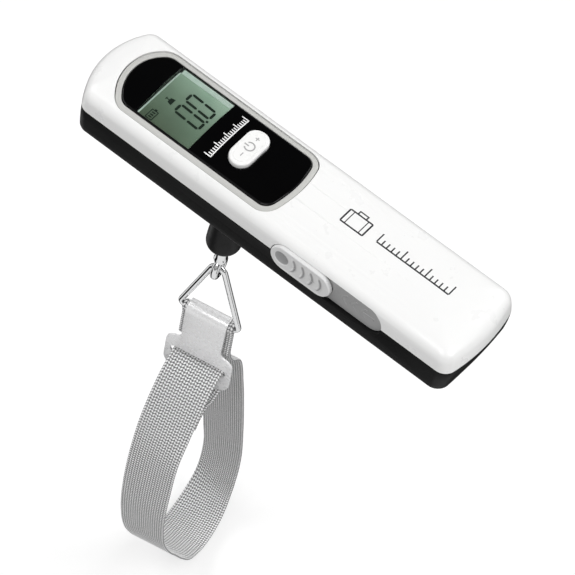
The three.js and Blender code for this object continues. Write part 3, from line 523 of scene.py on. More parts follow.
# Each look's colour, roughness, tint, grain and other settings of grained().
PLAIN_LOOKS = {
    "white_shell": ((0.87, 0.87, 0.865), 0.3, 0.02, (2.2, 0.0008), dict(coat=0.15, patch=0.02, swing=0.04)),
    "black_shell": (grey(0.008), 0.42, 0.25, (3.2, 0.018), dict(patch=0.05, swing=0.05, specular=0.11)),
    "grey_bezel": ((0.53, 0.53, 0.51), 0.5, 0.06, (3.0, 0.006), {}),
    "black_lens": ((0.0018, 0.0018, 0.002), 0.07, 0.3, (0.4, 0.0004),
        dict(patch=0.04, swing=0.03, specular=0.4)),
    "acetal": ((0.78, 0.75, 0.66), 0.45, 0.08, (2.0, 0.006), {}),
    "rubber": ((0.008, 0.008, 0.0085), 0.42, 0.3, (2.4, 0.012), dict(patch=0.09, swing=0.09, specular=0.16)),
    "chip": ((0.02, 0.02, 0.022), 0.55, 0.2, (3.0, 0.01), {}),
    "capacitor_sleeve": ((0.02, 0.04, 0.16), 0.3, 0.1, (1.0, 0.01), {}),
    "white_button": ((0.88, 0.88, 0.87), 0.3, 0.03, (2.4, 0.002), dict(coat=0.2)),
    "aluminium": ((0.62, 0.63, 0.64), 0.36, 0.08, (1.6, 0.006), dict(metal=1.0, stretch=(0.1, 3.0, 3.0))),
    "steel": ((0.52, 0.52, 0.53), 0.3, 0.12, (2.0, 0.006), dict(metal=1.0)),
    "chrome": ((0.93, 0.935, 0.94), 0.05, 0.04, (0.7, 0.0012), dict(metal=1.0, patch=0.12, swing=0.02)),
    "plated_sheet": ((0.97, 0.97, 0.975), 0.28, 0.03, (1.1, 0.0012),
        dict(metal=0.15, patch=0.08, swing=0.05)),
    "mid_grey_plastic": (grey(0.40), 0.48, 0.1, (2.6, 0.01), {}),
    "magnet": ((0.12, 0.12, 0.125), 0.4, 0.2, (1.5, 0.02), dict(metal=0.8)),
    "cable_jacket": ((0.35, 0.03, 0.02), 0.45, 0.1, (2.0, 0.01), {}),
    "dark_cable": ((0.03, 0.035, 0.045), 0.45, 0.1, (2.0, 0.01), {}),
    "white_ink": (grey(0.9), 0.4, 0.08, (4.0, 0.004), dict(patch=0.3)),
    "dark_ink": ((0.03, 0.03, 0.034), 0.42, 0.2, (4.0, 0.004), dict(patch=0.3)),
    "lcd_segment": ((0.012, 0.02, 0.015), 0.5, 0.3, (4.0, 0.002), dict(patch=0.3)),
    # Pale strip colour for the painted highlight along the LCD window's edges.
    "painted_highlight_strip": ((0.92, 0.96, 0.93), 0.35, 0.12, (2.0, 0.006), dict(patch=0.25)),
    "thread": (grey(0.42), 0.7, 0.2, (4.0, 0.03), dict(sheen=0.3)),
}
LOOKS = {name: grained(name, *start, **more) for name, (*start, more) in PLAIN_LOOKS.items()}
LOOKS.update(light_grey_plastic=thumb_look(), clear_window=window_look(), lcd_glass=lcd_look(),
             circuit_board=board_look(), copper_coil=winding_look(), webbing=webbing_look())


# ---- Housing ----
def shell_rings(levels):
    return [lift(plan(side, end * STEEPNESS, end), z) for side, end, z in levels]


def crown_surface(obj):
    """A function that gives the crown's height, evened out, over any points."""
    bm = bmesh.new()
    bm.from_mesh(obj.data)
    tree = BVHTree.FromBMesh(bm)
    bm.free()
    step = 0.5
    xs, ys = np.arange(DISPLAY_END, TAIL_END, step), np.arange(-HALF_WIDTH, HALF_WIDTH, step)

    def drop(x, y):
        hit = tree.ray_cast(Vector((x, y, 60)), Vector((0, 0, -1)))[0]
        return PARTING if hit is None else hit.z
    grid = np.array([[drop(x, y) for y in ys] for x in xs])
    kernel = np.exp(-np.linspace(-2, 2, 9) ** 2)
    kernel /= kernel.sum()
    for axis in (0, 1):
        grid = np.apply_along_axis(lambda r: np.convolve(np.pad(r, 4, "edge"), kernel, "valid"), axis, grid)

    def height(x, y):
        u = np.clip((np.asarray(x, float) - xs[0]) / step, 0, len(xs) - 1.001)
        v = np.clip((np.asarray(y, float) - ys[0]) / step, 0, len(ys) - 1.001)
        i, j = u.astype(int), v.astype(int)
        u, v = u - i, v - j
        near = grid[i, j] * (1 - v) + grid[i, j + 1] * v
        far = grid[i + 1, j] * (1 - v) + grid[i + 1, j + 1] * v
        return near * (1 - u) + far * u
    return height


def crowned(outline, height, drop):
    """The outline laid that far under the crown."""
    return np.column_stack([outline, height(outline[:, 0], outline[:, 1]) - drop])


def domed(outline, base, drop, height, rim=0.22, rings=24):
    """A slab on a flat base whose top follows the crown, with a rounded rim."""
    outline = dense(outline)
    levels = [lift(outline, base)]
    for a in np.linspace(0, pi / 2, 5):
        shrunk = inset(outline, rim * (1 - cos(a)))
        levels.append(crowned(shrunk, height, drop + rim * (1 - sin(a))))
    inner = levels[-1][:, :2]
    middle = inner.mean(0)
    levels += [crowned(middle + (inner - middle) * k, height, drop) for k in np.linspace(0.97, 0.02, rings)]
    return loft(levels)


def pocket_tool():
    middle = (sum(POCKET_X) / 2, PARTING)
    outline = stadium(POCKET_X[1] - POCKET_X[0], 2 * POCKET_HALF, 24, middle)
    return loft([upright(outline, -22), upright(outline, -14.5)])


def make_upper_cover():
    outside = shell_rings(smooth(CROWN, 0.42))
    inside = shell_rings([(s, e, z) for s, e, z in smooth(LINING, 0.9) if s <= 14])
    shell = loft(inside[::-1] + outside)
    height = crown_surface(shell)
    carve(shell, prism(panel(BEZEL_WIDTH + 0.15), (16, 24)), pocket_tool())
    soften(shell, 0.16, 3)
    settle(shell, "upper_cover", "handle", "white_shell", ["upper_shell"])
    return height


def make_lower_cover():
    outside = [lift(plan(side, display, tail, bow), z) for side, display, tail, z, bow in TRAY[::-1]]
    shell = loft(shell_rings(TRAY_LINING) + outside)
    columns = [rod(x, y, 4.2, (1.2, 11)) for x, y in SCREWS]
    carve(shell, *columns, how="UNION")
    sinks = [rod(x, y, 2.9, (-1, 4.2)) for x, y in SCREWS]
    bores = [rod(x, y, 1.4, (-1, 13), 24) for x, y in SCREWS]
    carve(shell, *sinks, *bores, rod(0, 0, 5.2, (-1, 4), 48), pocket_tool())
    soften(shell, 0.16, 2)
    settle(shell, "lower_cover", "handle", "black_shell", ["lower_shell"])


def make_screws():
    """Pan-head housing screws with a cross recess."""
    profile = [(0.02, 16.2), (0.8, 16.2), (1.1, 15.6), (1.1, 3.9), (2.5, 3.9), (2.5, 2.6), (2.35, 2.2),
               (1.9, 1.95), (1.2, 1.9), (0.02, 1.9)]
    for i, (x, y) in enumerate(SCREWS):
        screw = loft(lathe(profile, 32, (x, y)))
        bars = [prism(rounded_box((x - a, x + a), (y - b, y + b), 0.1, 2), (1.4, 2.9))
                for a, b in ((1.6, 0.3), (0.3, 1.6))]
        carve(screw, *bars)
        soften(screw, 0.05, 1)
        settle(screw, f"cross_screw_{i + 1}", "handle", "steel", [f"housing_screw_{i + 1}"])


# ---- Display ----
def button_outline(grow):
    pair = stadium(BUTTON_SIZE[0] + 2 * grow, BUTTON_SIZE[1] + 2 * grow, 24)
    return np.column_stack([BUTTON[0] - pair[:, 1], BUTTON[1] + pair[:, 0]])


def window_outline(grow):
    x = (WINDOW_X[0] - grow, WINDOW_X[1] + grow)
    return rounded_box(x, (-WINDOW_HALF - grow, WINDOW_HALF + grow), 0.35)


def make_bezel(height):
    """Frame round the panel with softly rounded edges."""
    inner = dense(panel(0.15))
    width, rim = BEZEL_WIDTH - 0.3, 0.3
    turn = np.linspace(0, pi, 9)
    section = [(width - rim if a < pi / 2 else rim, a) for a in turn]
    rings = [lift(inset(inner, -width), 16.6)]
    rings += [crowned(inset(inner, -(d + rim * cos(a))), height, 0.35 + rim * (1 - sin(a)))
              for d, a in section]
    rings.append(lift(inner, 16.6))
    settle(loft(rings, closed=True), "panel_bezel", "handle", "grey_bezel", ["display_bezel"])


def make_display(height):
    lens = domed(panel(-0.15), 18, 0.2, height)
    carve(lens, prism(window_outline(0), (17, 25)), prism(button_outline(0.35), (17, 25)))
    soften(lens, 0.15, 2)
    settle(lens, "panel_lens", "handle", "black_lens", ["display_lens"])

    pane = domed(window_outline(-0.15), 20.0, 0.26, height, 0.12)
    settle(pane, "display_pane", "handle", "clear_window", ["lcd_window"])

    x, y = (WINDOW_X[0] + 0.3, WINDOW_X[1] - 0.3), WINDOW_HALF - 0.3
    rings = [lift(rounded_box((x[0] + i, x[1] - i), (-y + i, y - i), 0.3), z) for i, z in
             ((0.1, 17.9), (0, 18.0), (0, 19.0), (0.1, 19.1), (0.1, 19.6), (0.2, 19.8))]
    settle(loft(rings), "lcd_cell", "handle", "lcd_glass", ["lcd_module"])


def plates(outlines, z):
    """Several flat raised shapes as one object."""
    points, faces = [], []
    for outline in outlines:
        faces += skin(len(points), 2, len(outline))
        points += [(x, y, level) for level in z for x, y in outline]
    return mesh_object(points, faces)


def bar(a, b, width, pointed=0.0):
    """A straight bar between two points, with chamfered ends."""
    a, b = np.asarray(a, float), np.asarray(b, float)
    d = (b - a) / np.linalg.norm(b - a)
    n = np.array([-d[1], d[0]]) * width / 2
    p = d * pointed
    corners = (a, a + p - n, b - p - n, b, b - p + n, a + p + n) if pointed else (a - n, b - n, b + n, a + n)
    return [tuple(q) for q in corners]


def zero(x, y, half=5.3, width=3.6, slant=0.05):
    """The six lit segments of a zero, which reads along +Y with its top towards -X."""
    ends = (((0, 0), (0, 1)), ((0, 1), (1, 1)), ((1, 1), (2, 1)), ((2, 0), (2, 1)), ((1, 0), (2, 0)),
            ((0, 0), (1, 0)))
    shapes = []
    for pair in ends:
        a, b = (np.array([x + row * half, y + column * width - slant * row * half]) for row, column in pair)
        d = (b - a) / np.linalg.norm(b - a) * 0.22
        shapes.append(bar(a + d, b - d, 0.95, 0.45))
    return shapes


def make_lcd_marks():
    """Numerals, a decimal point, a battery outline and a small hanging-weight unit mark, and pale strips
    along the window's left and far edges as a painted highlight.
    """
    shapes = zero(-26.2, -3.3) + zero(-26.2, 2.5)
    shapes.append([(-15.9, 0.25), (-15.0, 0.25), (-15.0, 1.1), (-15.9, 1.1)])
    z = (LCD_Z[1] - 0.05, LCD_Z[1] + 0.06)
    settle(plates(shapes, z), "lcd_numerals", "handle", "lcd_segment")
    low, high, left, right = -31.9, -29.4, -11.7, -7.8
    icons = [bar((x, left), (x, right), 0.32) for x in (low, high)]
    icons += [bar((low - 0.16, y), (high + 0.16, y), 0.32) for y in (left, right)]
    icons.append(bar((low + 0.8, right + 0.45), (high - 0.8, right + 0.45), 0.55))
    icons += [bar((low + 0.6, y), (high - 0.6, y), 0.5) for y in (left + 0.95, left + 1.95, left + 2.95)]
    icons += [[(-30.3, -2.0), (-28.6, -2.5), (-28.6, 0.4), (-30.3, -0.1)],
              bar((-31.4, -1.05), (-30.2, -1.05), 0.35), bar((-31.5, -1.6), (-31.5, -0.5), 0.3)]
    settle(plates(icons, z), "lcd_icons", "handle", "lcd_segment")
    z = (LCD_Z[1] - 0.05, LCD_Z[1] + 0.12)
    x0, x1 = WINDOW_X[0] + 0.45, WINDOW_X[1] - 0.5
    # Painted highlight: pale strips along the window's left and far edges.
    highlight_strips = [bar((x0 + 0.3, -12), (x0 + 0.3, 12.1), 0.55), bar((x0, 11.1), (x1, 11.1), 2.0)]
    settle(plates(highlight_strips, z), "lcd_painted_highlight_edges", "handle", "painted_highlight_strip")


def printed(name, strokes, height, look, thick=0.03, body="handle", lower=0.0):
    """Thin ink lines laid on a curved surface: each stroke is a list of points and a width."""
    points, faces = [], []
    for line, width in strokes:
        p = spaced(np.asarray(line, float), 0.5)
        n = leftward(unit(np.gradient(p, axis=0))) * width / 2
        faces += skin(len(points), len(p), 4)
        for q, m in zip(p, n):
            for (x, y), rise in ((q - m, -0.05), (q - m, thick), (q + m, thick), (q + m, -0.05)):
                points.append((x, y, float(height(x, y)) - lower + rise))
    settle(mesh_object(points, faces), name, body, look)


def make_panel_ticks(height):
    """A small capacity scale between the display and the button."""
    strokes = [([(-5.6 - (1.3 if i % 5 else 2.4), i - 10), (-5.6, i - 10)], 0.42) for i in range(21)]
    strokes.append(([(-5.3, -10.2), (-5.3, 10.2)], 0.42))
    printed("panel_scale_ticks", strokes, height, "white_ink", lower=0.2)


def make_tail_mark(height):
    """A generic suitcase outline with a graduated line, in dark ink on the tail."""
    x, y = 46.5, 2.4
    case = [(-4.6, -3, 4.6, -3, 0.6), (4.6, -3, 4.6, 3, 0.6), (4.6, 3, -4.6, 3, 0.6),
            (-4.6, 3, -4.6, -3, 0.6)]
    handle = [(-1.7, 3, -1.7, 4.5, 0.5), (1.7, 3, 1.7, 4.5, 0.5), (-1.95, 4.5, 1.95, 4.5, 0.5)]
    straps = [(-2.9, -3, -2.9, 3, 0.35), (2.9, -3, 2.9, 3, 0.35)]
    strokes = [([(x + a, y + b), (x + c, y + d)], width) for a, b, c, d, width in case + handle + straps]
    start, end, base = 56, 86, y - 1.5
    strokes.append(([(start, base), (end, base)], 0.6))
    strokes += [([(start + 2 * i, base + 0.2), (start + 2 * i, base + (2.3 if i % 5 else 4.2))], 0.5)
                for i in range(16)]
    printed("tail_suitcase_mark", strokes, height, "dark_ink", 0.025)


def make_button(height):
    """Domed cap that follows the crown, with a groove ring and a flange under the lens."""
    profile = [(-0.8, 17.0, 0), (-0.8, 17.7, 0), (0, 17.72, 0), (0, 0, -0.55), (0.05, 0, -0.32),
               (0.18, 0, -0.14), (0.4, 0, -0.03), (0.7, 0, 0), (1.05, 0, 0.02), (1.13, 0, -0.1),
               (1.25, 0, -0.13), (1.37, 0, -0.1), (1.45, 0, 0.03), (2.2, 0, 0.06), (3.2, 0, 0.07),
               (4.05, 0, 0.07)]
    rings = []
    for inset, level, rise in profile:
        outline = button_outline(-inset)
        rings.append(lift(outline, level) if level else crowned(outline, height, -BUTTON_RAISE - rise))
    cap = loft(rings)
    settle(cap, "mode_cap", "button", "white_button", ["mode_button"])
    gap = radians(38)
    x, y = BUTTON
    strokes = [(arc(x, y, 1.75, pi + gap, 3 * pi - gap, 40), 0.42),
               ([(x - 2.15, y), (x - 0.35, y)], 0.42),
               ([(x, y - 5.0), (x, y - 3.4)], 0.38), ([(x, y + 3.4), (x, y + 5.0)], 0.38),
               ([(x - 0.8, y + 4.2), (x + 0.8, y + 4.2)], 0.38)]
    printed("button_power_mark", strokes, height, "mid_grey_plastic", body="button",
            lower=-BUTTON_RAISE - 0.06)


# ---- Slider ----
def face_rings(length, high, centre, profile, relief, steps=34, straight=60):
    """Slot-shaped rings standing in the X-Z plane, from the back face to the middle of the front face."""
    rings = []
    reach, q = length / 2 - high / 2, pi / 2
    side = np.linspace(-reach, reach, straight + 1)[1:-1]
    ones = np.ones(len(side))
    for inset, y in profile:
        r = high / 2 - inset
        outline = np.vstack([arc(reach, 0, r, -q, q, steps), np.column_stack([side[::-1], r * ones]),
                             arc(-reach, 0, r, q, 3 * q, steps), np.column_stack([side, -r * ones])])
        x, z = centre[0] + outline[:, 0], centre[1] + outline[:, 1]
        out = relief(x, z) if inset > 0.4 else np.zeros(len(x))
        rings.append(np.column_stack([x, y - out, z]))
    return rings


def make_slider():
    """Thumb piece with a thumb dimple, four curved grips and a stem to the rack."""
    middle = (POCKET_X[0] + 0.3 + SLIDER_LENGTH / 2, PARTING)
    high = 2 * POCKET_HALF - 0.6

    def grips(x, z):
        """Distance from each grip's centre, and the angle away from its middle."""
        for at in GRIP_X:
            across, up = x - (at - GRIP_RADIUS), z - PARTING
            yield np.hypot(across, up), np.abs(np.arctan2(up, across))

    def relief(x, z):
        r = np.hypot(x - DIMPLE_X, z - PARTING)
        out = -0.55 * np.clip(1 - (r / 3.0) ** 4, 0, 1) ** 0.7
        for d, swing in grips(x, z):
            fade = np.clip((0.82 - swing) / 0.2, 0, 1)
            out = out + 0.34 * np.exp(-((d - GRIP_RADIUS) / 0.34) ** 2) * fade
            out = out - 0.14 * np.exp(-((d - 5.3) / 0.5) ** 2) * fade
        rim = np.minimum(high / 2 - np.abs(z - PARTING), 9)
        return out - 0.12 * np.clip((rim - 0.6) / 0.8, 0, 1)

    # Painted shade mask: 1 in the thumb dimple and along the grip steps' outer drop, where shade falls; the
    # material darkens the grey by it.
    def painted_step_shade(x, y, z):
        pad = np.clip((2.9 - np.hypot(x - DIMPLE_X, z - PARTING)) / 0.25, 0, 1) * 0.75
        for d, swing in grips(x, z):
            pad = np.maximum(pad, np.exp(-((d - 4.85) / 0.32) ** 2) * np.clip((0.8 - swing) / 0.15, 0, 1))
        return pad * (y < -18.6)

    profile = [(0.15, -17.8), (0, -17.95), (0, -19.0), (0.06, -19.22), (0.2, -19.42), (0.4, -19.55)]
    profile += [(inset, SLIDER_FACE) for inset in np.linspace(0.55, high / 2 - 0.02, 40)]
    thumb = loft(face_rings(SLIDER_LENGTH, high, middle, profile, relief))
    stem = prism(rounded_box((30.8, 33.2), (-18.2, -15.9), 0.3, 3), (PARTING - 1.1, PARTING + 1.1))
    carve(thumb, stem, how="UNION")
    # The painted shade mask is stored on the points for the material to read.
    co = np.array([v.co for v in thumb.data.vertices])
    tone = thumb.data.attributes.new("painted_step_shade", "FLOAT", "POINT")
    tone.data.foreach_set("value", painted_step_shade(*co.T).astype(np.float32))
    settle(thumb, "thumb_slider", "slider", "light_grey_plastic", ["push_slider"])


def make_track():
    """Recessed plate behind the slider, with its slot and three raised direction arrows."""
    middle = (sum(POCKET_X) / 2, PARTING)
    length, high = POCKET_X[1] - POCKET_X[0] - 0.3, 2 * POCKET_HALF - 0.3

    def relief(x, z):
        out = np.zeros(len(x))
        for at in ARROW_X:
            along = np.abs(x - at - np.abs(z - PARTING) * 0.75)
            out = np.maximum(out, np.clip((0.55 - along) / 0.16, 0, 1) * (np.abs(z - PARTING) < 2.5))
        shaft = (np.abs(z - PARTING) < 0.45) & (x > 66.0) & (x < 71.2)
        return 0.16 * np.maximum(out, shaft.astype(float))

    profile = [(0.1, TRACK_Y[1]), (0, TRACK_Y[1] - 0.1), (0, TRACK_Y[0] + 0.15), (0.15, TRACK_Y[0])]
    profile += [(inset, TRACK_Y[0]) for inset in np.linspace(0.42, high / 2 - 0.02, 46)]
    plate = loft(face_rings(length, high, middle, profile, relief, 30, 220))
    outline = rounded_box((30.4, 54.0), (PARTING - 1.4, PARTING + 1.4), 0.6)
    slot = loft([upright(outline, y) for y in (-19, -15)])
    carve(plate, slot)
    settle(plate, "slider_track_face", "handle", "mid_grey_plastic", ["slider_track_plate"])


# ---- Hanging parts ----
def make_boot():
    bulb = arc(3, -33, 3.3, -pi / 2, 0, 12)
    neck = smooth([tuple(bulb[-1]), (6.15, -30), (5.8, -26), (5.45, -21), (5.15, -15), (5.1, -10.5),
                   (5.5, -6.5), (6.9, -3.4), (9, -1.6), (9.4, -0.3)], 0.8)
    rim = [(9.3, -0.3), (5.1, -0.3), (4.9, -0.1), (4.9, 2.2), (7, 2.2), (7, 3.1), (2.5, 3.1), (2.5, -36)]
    profile = [(2.6, -36.3)] + [tuple(p) for p in bulb] + [tuple(p) for p in neck[1:]] + rim
    boot = loft(lathe(profile, 80), closed=True)
    soften(boot, 0.12, 2)
    settle(boot, "neck_sleeve", "handle", "rubber", ["neck_boot"], sharp=50)


def make_eye():
    t = np.linspace(0, TAU, 64, endpoint=False)
    line = np.column_stack([np.zeros(64), EYE_RADIUS * np.cos(t), EYE_Z + EYE_RADIUS * np.sin(t)])
    ring = loft(sweep(line, EYE_WIRE, 28, closed=True), closed=True)
    neck = EYE_Z + EYE_RADIUS
    shank = [(1.2, -0.7), (1.9, -0.2), (2.3, 0.6), (2.45, 1.2), (2.35, 1.9), (2.0, 2.8)]
    profile = [(r, neck + z) for r, z in shank] + [(2.0, 12.6), (1.6, 13)]
    carve(ring, loft(lathe(profile, 40)), how="UNION")
    soften(ring, 0.18, 2, 25)
    settle(ring, "eye_ring", "eye", "chrome", ["swivel_eye"], sharp=60)


def link_line():
    """The wire's middle line as in the CAD source: apex bend, legs, corners and a split base bar."""
    bend_z, bend, corner_r, half = -53.05, 2.9, 1.6, pi / 2
    reach = hypot(BAR_HALF, bend_z - BAR_Z)
    leg = atan2(BAR_HALF, bend_z - BAR_Z) - asin(bend / reach)
    shift = corner_r / tan((half - leg) / 2)
    cx, cz = BAR_HALF - shift, BAR_Z + corner_r
    right = np.vstack([[(0.15, BAR_Z), (4, BAR_Z)], arc(cx, cz, corner_r, -half, leg, 16),
                       arc(0, bend_z, bend, leg, half, 20)])
    left = right[:-1][::-1] * [-1, 1]
    line = np.vstack([right, left])
    return np.column_stack([line[:, 0], np.zeros(len(line)), line[:, 1]])


def make_link():
    settle(loft(sweep(link_line(), 1.1, 28)), "wire_link", "link", "chrome", ["triangle_link"], sharp=60)


def strip_outline(line, thick):
    """Closed outline of a strip of even thickness about a middle line."""
    n = leftward(unit(np.gradient(line, axis=0))) * thick / 2
    return np.vstack([line - n, (line + n)[::-1]])


def make_hook():
    """Rolled plate with a neck, rounded ears and the webbing slot."""
    roll = arc(0, BAR_Z, 2.75, -0.1, pi, 40)
    line = np.vstack([roll, [(-2.75, BAR_Z - 6), (-2.75, HOOK_BOTTOM)]])
    outline = strip_outline(line, 0.8)
    sheet = loft([np.column_stack([np.full(len(outline), u), outline]) for u in (-13.2, 13.2)])
    right = np.vstack([arc(7.2, HOOK_BOTTOM + 6, 6, -QUARTER, 0, 16),
                       arc(9.2, HOOK_SHOULDER - 4, 4, 0, QUARTER, 12),
                       arc(10.4, HOOK_SHOULDER + 2.6, 2.6, -QUARTER, -pi, 10),
                       [(8.0, BAR_Z - 2), (8.0, BAR_Z + 5)]])
    face = np.vstack([right, right[::-1] * [-1, 1]])
    carve(sheet, loft([upright(face, -7), upright(face, 7)]), how="INTERSECT")
    slot = stadium(22.2, HOOK_SLOT[1] - HOOK_SLOT[0], 14, (0, sum(HOOK_SLOT) / 2))
    carve(sheet, loft([upright(slot, -7), upright(slot, 0)]))
    soften(sheet, 0.2, 3, 40)
    settle(sheet, "hook_sheet", "hook", "plated_sheet", ["hook_plate"], sharp=45)


# ---- Webbing ----
SLEEVE = [(-0.75, BAR_Z - 16), (-0.75, BAR_Z - 9), (-0.8, BAR_Z - 3.6),
          *[tuple(p) for p in arc(0, BAR_Z, 1.75, pi + 0.9, -0.9, 9)],
          (0.75, BAR_Z - 3.6), (0.8, BAR_Z - 9), (1.4, BAR_Z - 18), (5.4, BAR_Z - 27)]
BACK = [(14.1, -119.6), (22, -141.6), (30, -171.8), (36.4, -197.6), (40.7, -217.9), (42.7, -235.8),
        (39.8, -249.4), (28.9, -255.6), (16.4, -253.3)]
FRONT = [(4.8, -245.2), (-4.4, -233), (-12.8, -218.4), (-20.9, -202.8), (-27.4, -185.3), (-30.8, -165),
         (-30.3, -147.2), (-27.8, -132), (-21.6, -120.5), (-14.5, -111.6), (-8, -107), (-2.75, -105.4),
         (0.6, -106.4), (2, -110.5), (1.2, -116), (-2.2, -118.9), (-7, -118.9), (-12.4, -116.6),
         (-16.6, -117.6), (-19.4, -121)]
# Degrees of twist at each point of the back run and then of the front run's first eight.
TWIST = (1, -5, -7, -11, -14, -22, -25, -12, 0, 3, -1, -1, 3, 9, 10, 8, 9)
YARN, RIB = 1.15, 2.0        # stitch length along the webbing and rib pitch across it
WEB_COLUMNS = 81
RELIEF = 0.2


def webbing_path():
    """The whole strap's middle line and its twist in radians at each point."""
    line = smooth(SLEEVE + BACK + FRONT, YARN / 4)
    run = lengths(line)
    knots = (BACK + FRONT)[:len(TWIST)]
    knots_at = [run[int(np.argmin(np.linalg.norm(line - np.array(k), axis=1)))] for k in knots]
    at = [0, knots_at[0] - 8, *knots_at, knots_at[-1] + 12, run[-1]]
    turn = np.interp(run, at, [0, 0, *TWIST, 0, 0])
    width = 49
    kernel = np.hanning(width + 2)[1:-1]
    turn = np.convolve(np.pad(turn, width // 2, "edge"), kernel / kernel.sum(), "valid")
    return line, run, np.radians(turn)


def weave(w, s):
    """Height of the woven surface, 0 to 1, at a place across and along the strap."""
    rib = w / RIB
    part = 2 * (rib - np.floor(rib))
    lean = np.abs(part - 1)
    column = np.abs(np.sin(pi * part)) ** 0.45
    stitch = np.abs(np.sin(pi * (s / YARN + 0.42 * lean))) ** 0.6
    return np.clip(0.08 + 0.92 * stitch * (0.45 + 0.55 * column), 0, 1)


def make_webbing(name, low, high, stands_for):
    """A stretch of the strap as one closed woven ribbon between two arc lengths."""
    line, run, turn = webbing_path()
    keep = (run >= low - 1e-6) & (run <= high + 1e-6)
    along = unit(np.gradient(line, axis=0))
    line, run, turn, along = line[keep], run[keep], turn[keep], along[keep]
    half = WEB_WIDTH / 2
    columns = np.linspace(-half, half, WEB_COLUMNS)
    flat = np.concatenate([columns, columns[::-1]])
    side = np.repeat([1.0, -1.0], WEB_COLUMNS)
    edge = np.clip((half - np.abs(flat)) / 0.5, 0, 1) ** 0.5
    n = len(flat)
    rings, heights, uvs = [], [], []
    for (v, z), s, a, (dv, dz) in zip(line, run, turn, along):
        h = weave(flat + half, np.full(n, s) + 0.5 * YARN * (side < 0))
        off = side * (edge * (WEB_THICK / 2 - RELIEF) + RELIEF * h * (0.3 + 0.7 * edge))
        wobble = 0.05 * sin(TAU * s / YARN)
        across = flat * (1 + wobble / half)
        normal = np.array([-sin(a), -cos(a) * dz, cos(a) * dv])
        width = np.array([cos(a), -sin(a) * dz, sin(a) * dv])
        rings.append(np.array([0, v, z]) + np.outer(across, width) + np.outer(off, normal))
        heights.append(h)
        uvs.append(np.column_stack([(flat + half) * 0.01, np.full(n, s * 0.01)]))
    points = to_rest(np.vstack(rings)) * MM
    mesh = bpy.data.meshes.new(name)
    mesh.from_pydata([tuple(p) for p in points], [], skin(0, len(rings), n))
    relief = mesh.attributes.new("relief", "FLOAT", "POINT")
    relief.data.foreach_set("value", np.concatenate(heights).astype(np.float32))
    layer = mesh.uv_layers.new(name="UVMap")
    corner = np.zeros(len(mesh.loops), np.int32)
    mesh.loops.foreach_get("vertex_index", corner)
    layer.data.foreach_set("uv", np.vstack(uvs)[corner].astype(np.float32).ravel())
    face_outward(mesh)
    mesh.shade_smooth()
    mesh.materials.append(LOOKS["webbing"])
    obj = in_scene(name, mesh)
    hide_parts(stands_for)
    return obj


def make_strap():
    line, run, _ = webbing_path()
    split, end = run[int(np.argmin(np.linalg.norm(line - np.array(BACK[2]), axis=1)))], run[-1]
    upper = make_webbing("webbing_sewn_run", 0.0, split, "strap_back_run")
    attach(upper, "strap")
    loop = make_webbing("webbing_loop_run", split, end, "strap_front_run")
    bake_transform(loop)


def make_stitches():
    """Box of thread stitches that closes the sleeve round the link's bar."""
    points, faces = [], []
    top, bottom, edge, pitch, reach = BAR_Z - 9.2, BAR_Z - 14.6, 8.2, 1.6, 1.1
    rows = [((u, z), (u + reach, z)) for z in (top, bottom) for u in np.arange(-8, 7.5, pitch)]
    upper_ends = np.arange(top - 0.4, bottom + 0.4, -1.5)
    rows += [((u, z), (u, z - reach)) for u in (-edge, edge) for z in upper_ends]
    t = np.linspace(0, 1, 7)
    turns = np.linspace(0, TAU, 8, endpoint=False)
    for (u0, z0), (u1, z1) in rows:
        level = abs(u1 - u0) > 0.5
        side = np.array([float(not level), 0, float(level)])
        for v, out in ((1.32, 1), (-1.28, -1)):
            lean = 0.06 if z0 < BAR_Z - 12 and out > 0 else 0
            hump = v + out * (0.13 * np.sin(pi * t) ** 0.6) + lean
            line = np.column_stack([u0 + (u1 - u0) * t, hump, z0 + (z1 - z0) * t])
            faces += skin(len(points), len(t), len(turns))
            points += [p + 0.16 * (cos(a) * side + sin(a) * np.array([0, 1.0, 0]))
                       for p in line for a in turns]
    settle(mesh_object(points, faces), "sleeve_stitches", "strap", "thread")


# ---- Carried-over CAD nodes ----
CAD_LOOKS = {
    "acetal": "lcd_frame slider_rack drive_gear step_up_gear",
    "rubber": "zebra_connector",
    "circuit_board": "main_board",
    "chip": "controller_chip",
    "capacitor_sleeve": "storage_capacitor",
    "aluminium": "load_cell",
    "steel": "button_switch load_cell_base load_cell_screw_1 load_cell_screw_2 thrust_washer swivel_nut "
             "spring_rod return_spring drive_axle step_up_axle rotor_pinion stator_core",
    "mid_grey_plastic": "generator_base generator_top",
    "magnet": "magnet_rotor",
    "copper_coil": "stator_coil",
    "cable_jacket": "generator_cable",
    "dark_cable": "load_cell_cable",
}


def dress_cad():
    for look, names in CAD_LOOKS.items():
        for name in names.split():
            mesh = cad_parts[name].data
            mesh.materials.clear()
            mesh.materials.append(LOOKS[look])


# ---- Stage ----
FLOOR_DROP = 0.0045          # metres under the CAD box, clear of the twisted webbing


def stage_sheet(name, size, z, look):
    """A flat rectangle that only dresses the stage."""
    w, h = size[0] / 2, size[1] / 2
    mesh = bpy.data.meshes.new(name)
    mesh.from_pydata([(-w, -h, z), (w, -h, z), (w, h, z), (-w, h, z)], [], [(0, 1, 2, 3)])
    mesh.materials.append(look)
    obj = in_scene(name, mesh)
    return obj


def aimed(obj, centre, aim, axis):
    obj.location = centre
    obj.rotation_mode = "QUATERNION"
    obj.rotation_quaternion = (Vector(aim) - Vector(centre)).to_track_quat(axis, "Y")


def make_floor():
    look, tree, shader, _, place = blank("studio_floor")
    tone = mixed(tree, noise(tree, place, 0.004, 2), (*grey(0.48), 1), (*grey(0.5), 1))
    wire(tree, shader, {"Base Color": tone, "Roughness": 0.9, "Emission Color": (*grey(1), 1),
                        "Emission Strength": 0.55})
    floor = stage_sheet("studio_floor", (8, 8), cad_box[0][2] - FLOOR_DROP, look)
    floor.visible_glossy = floor.visible_diffuse = False


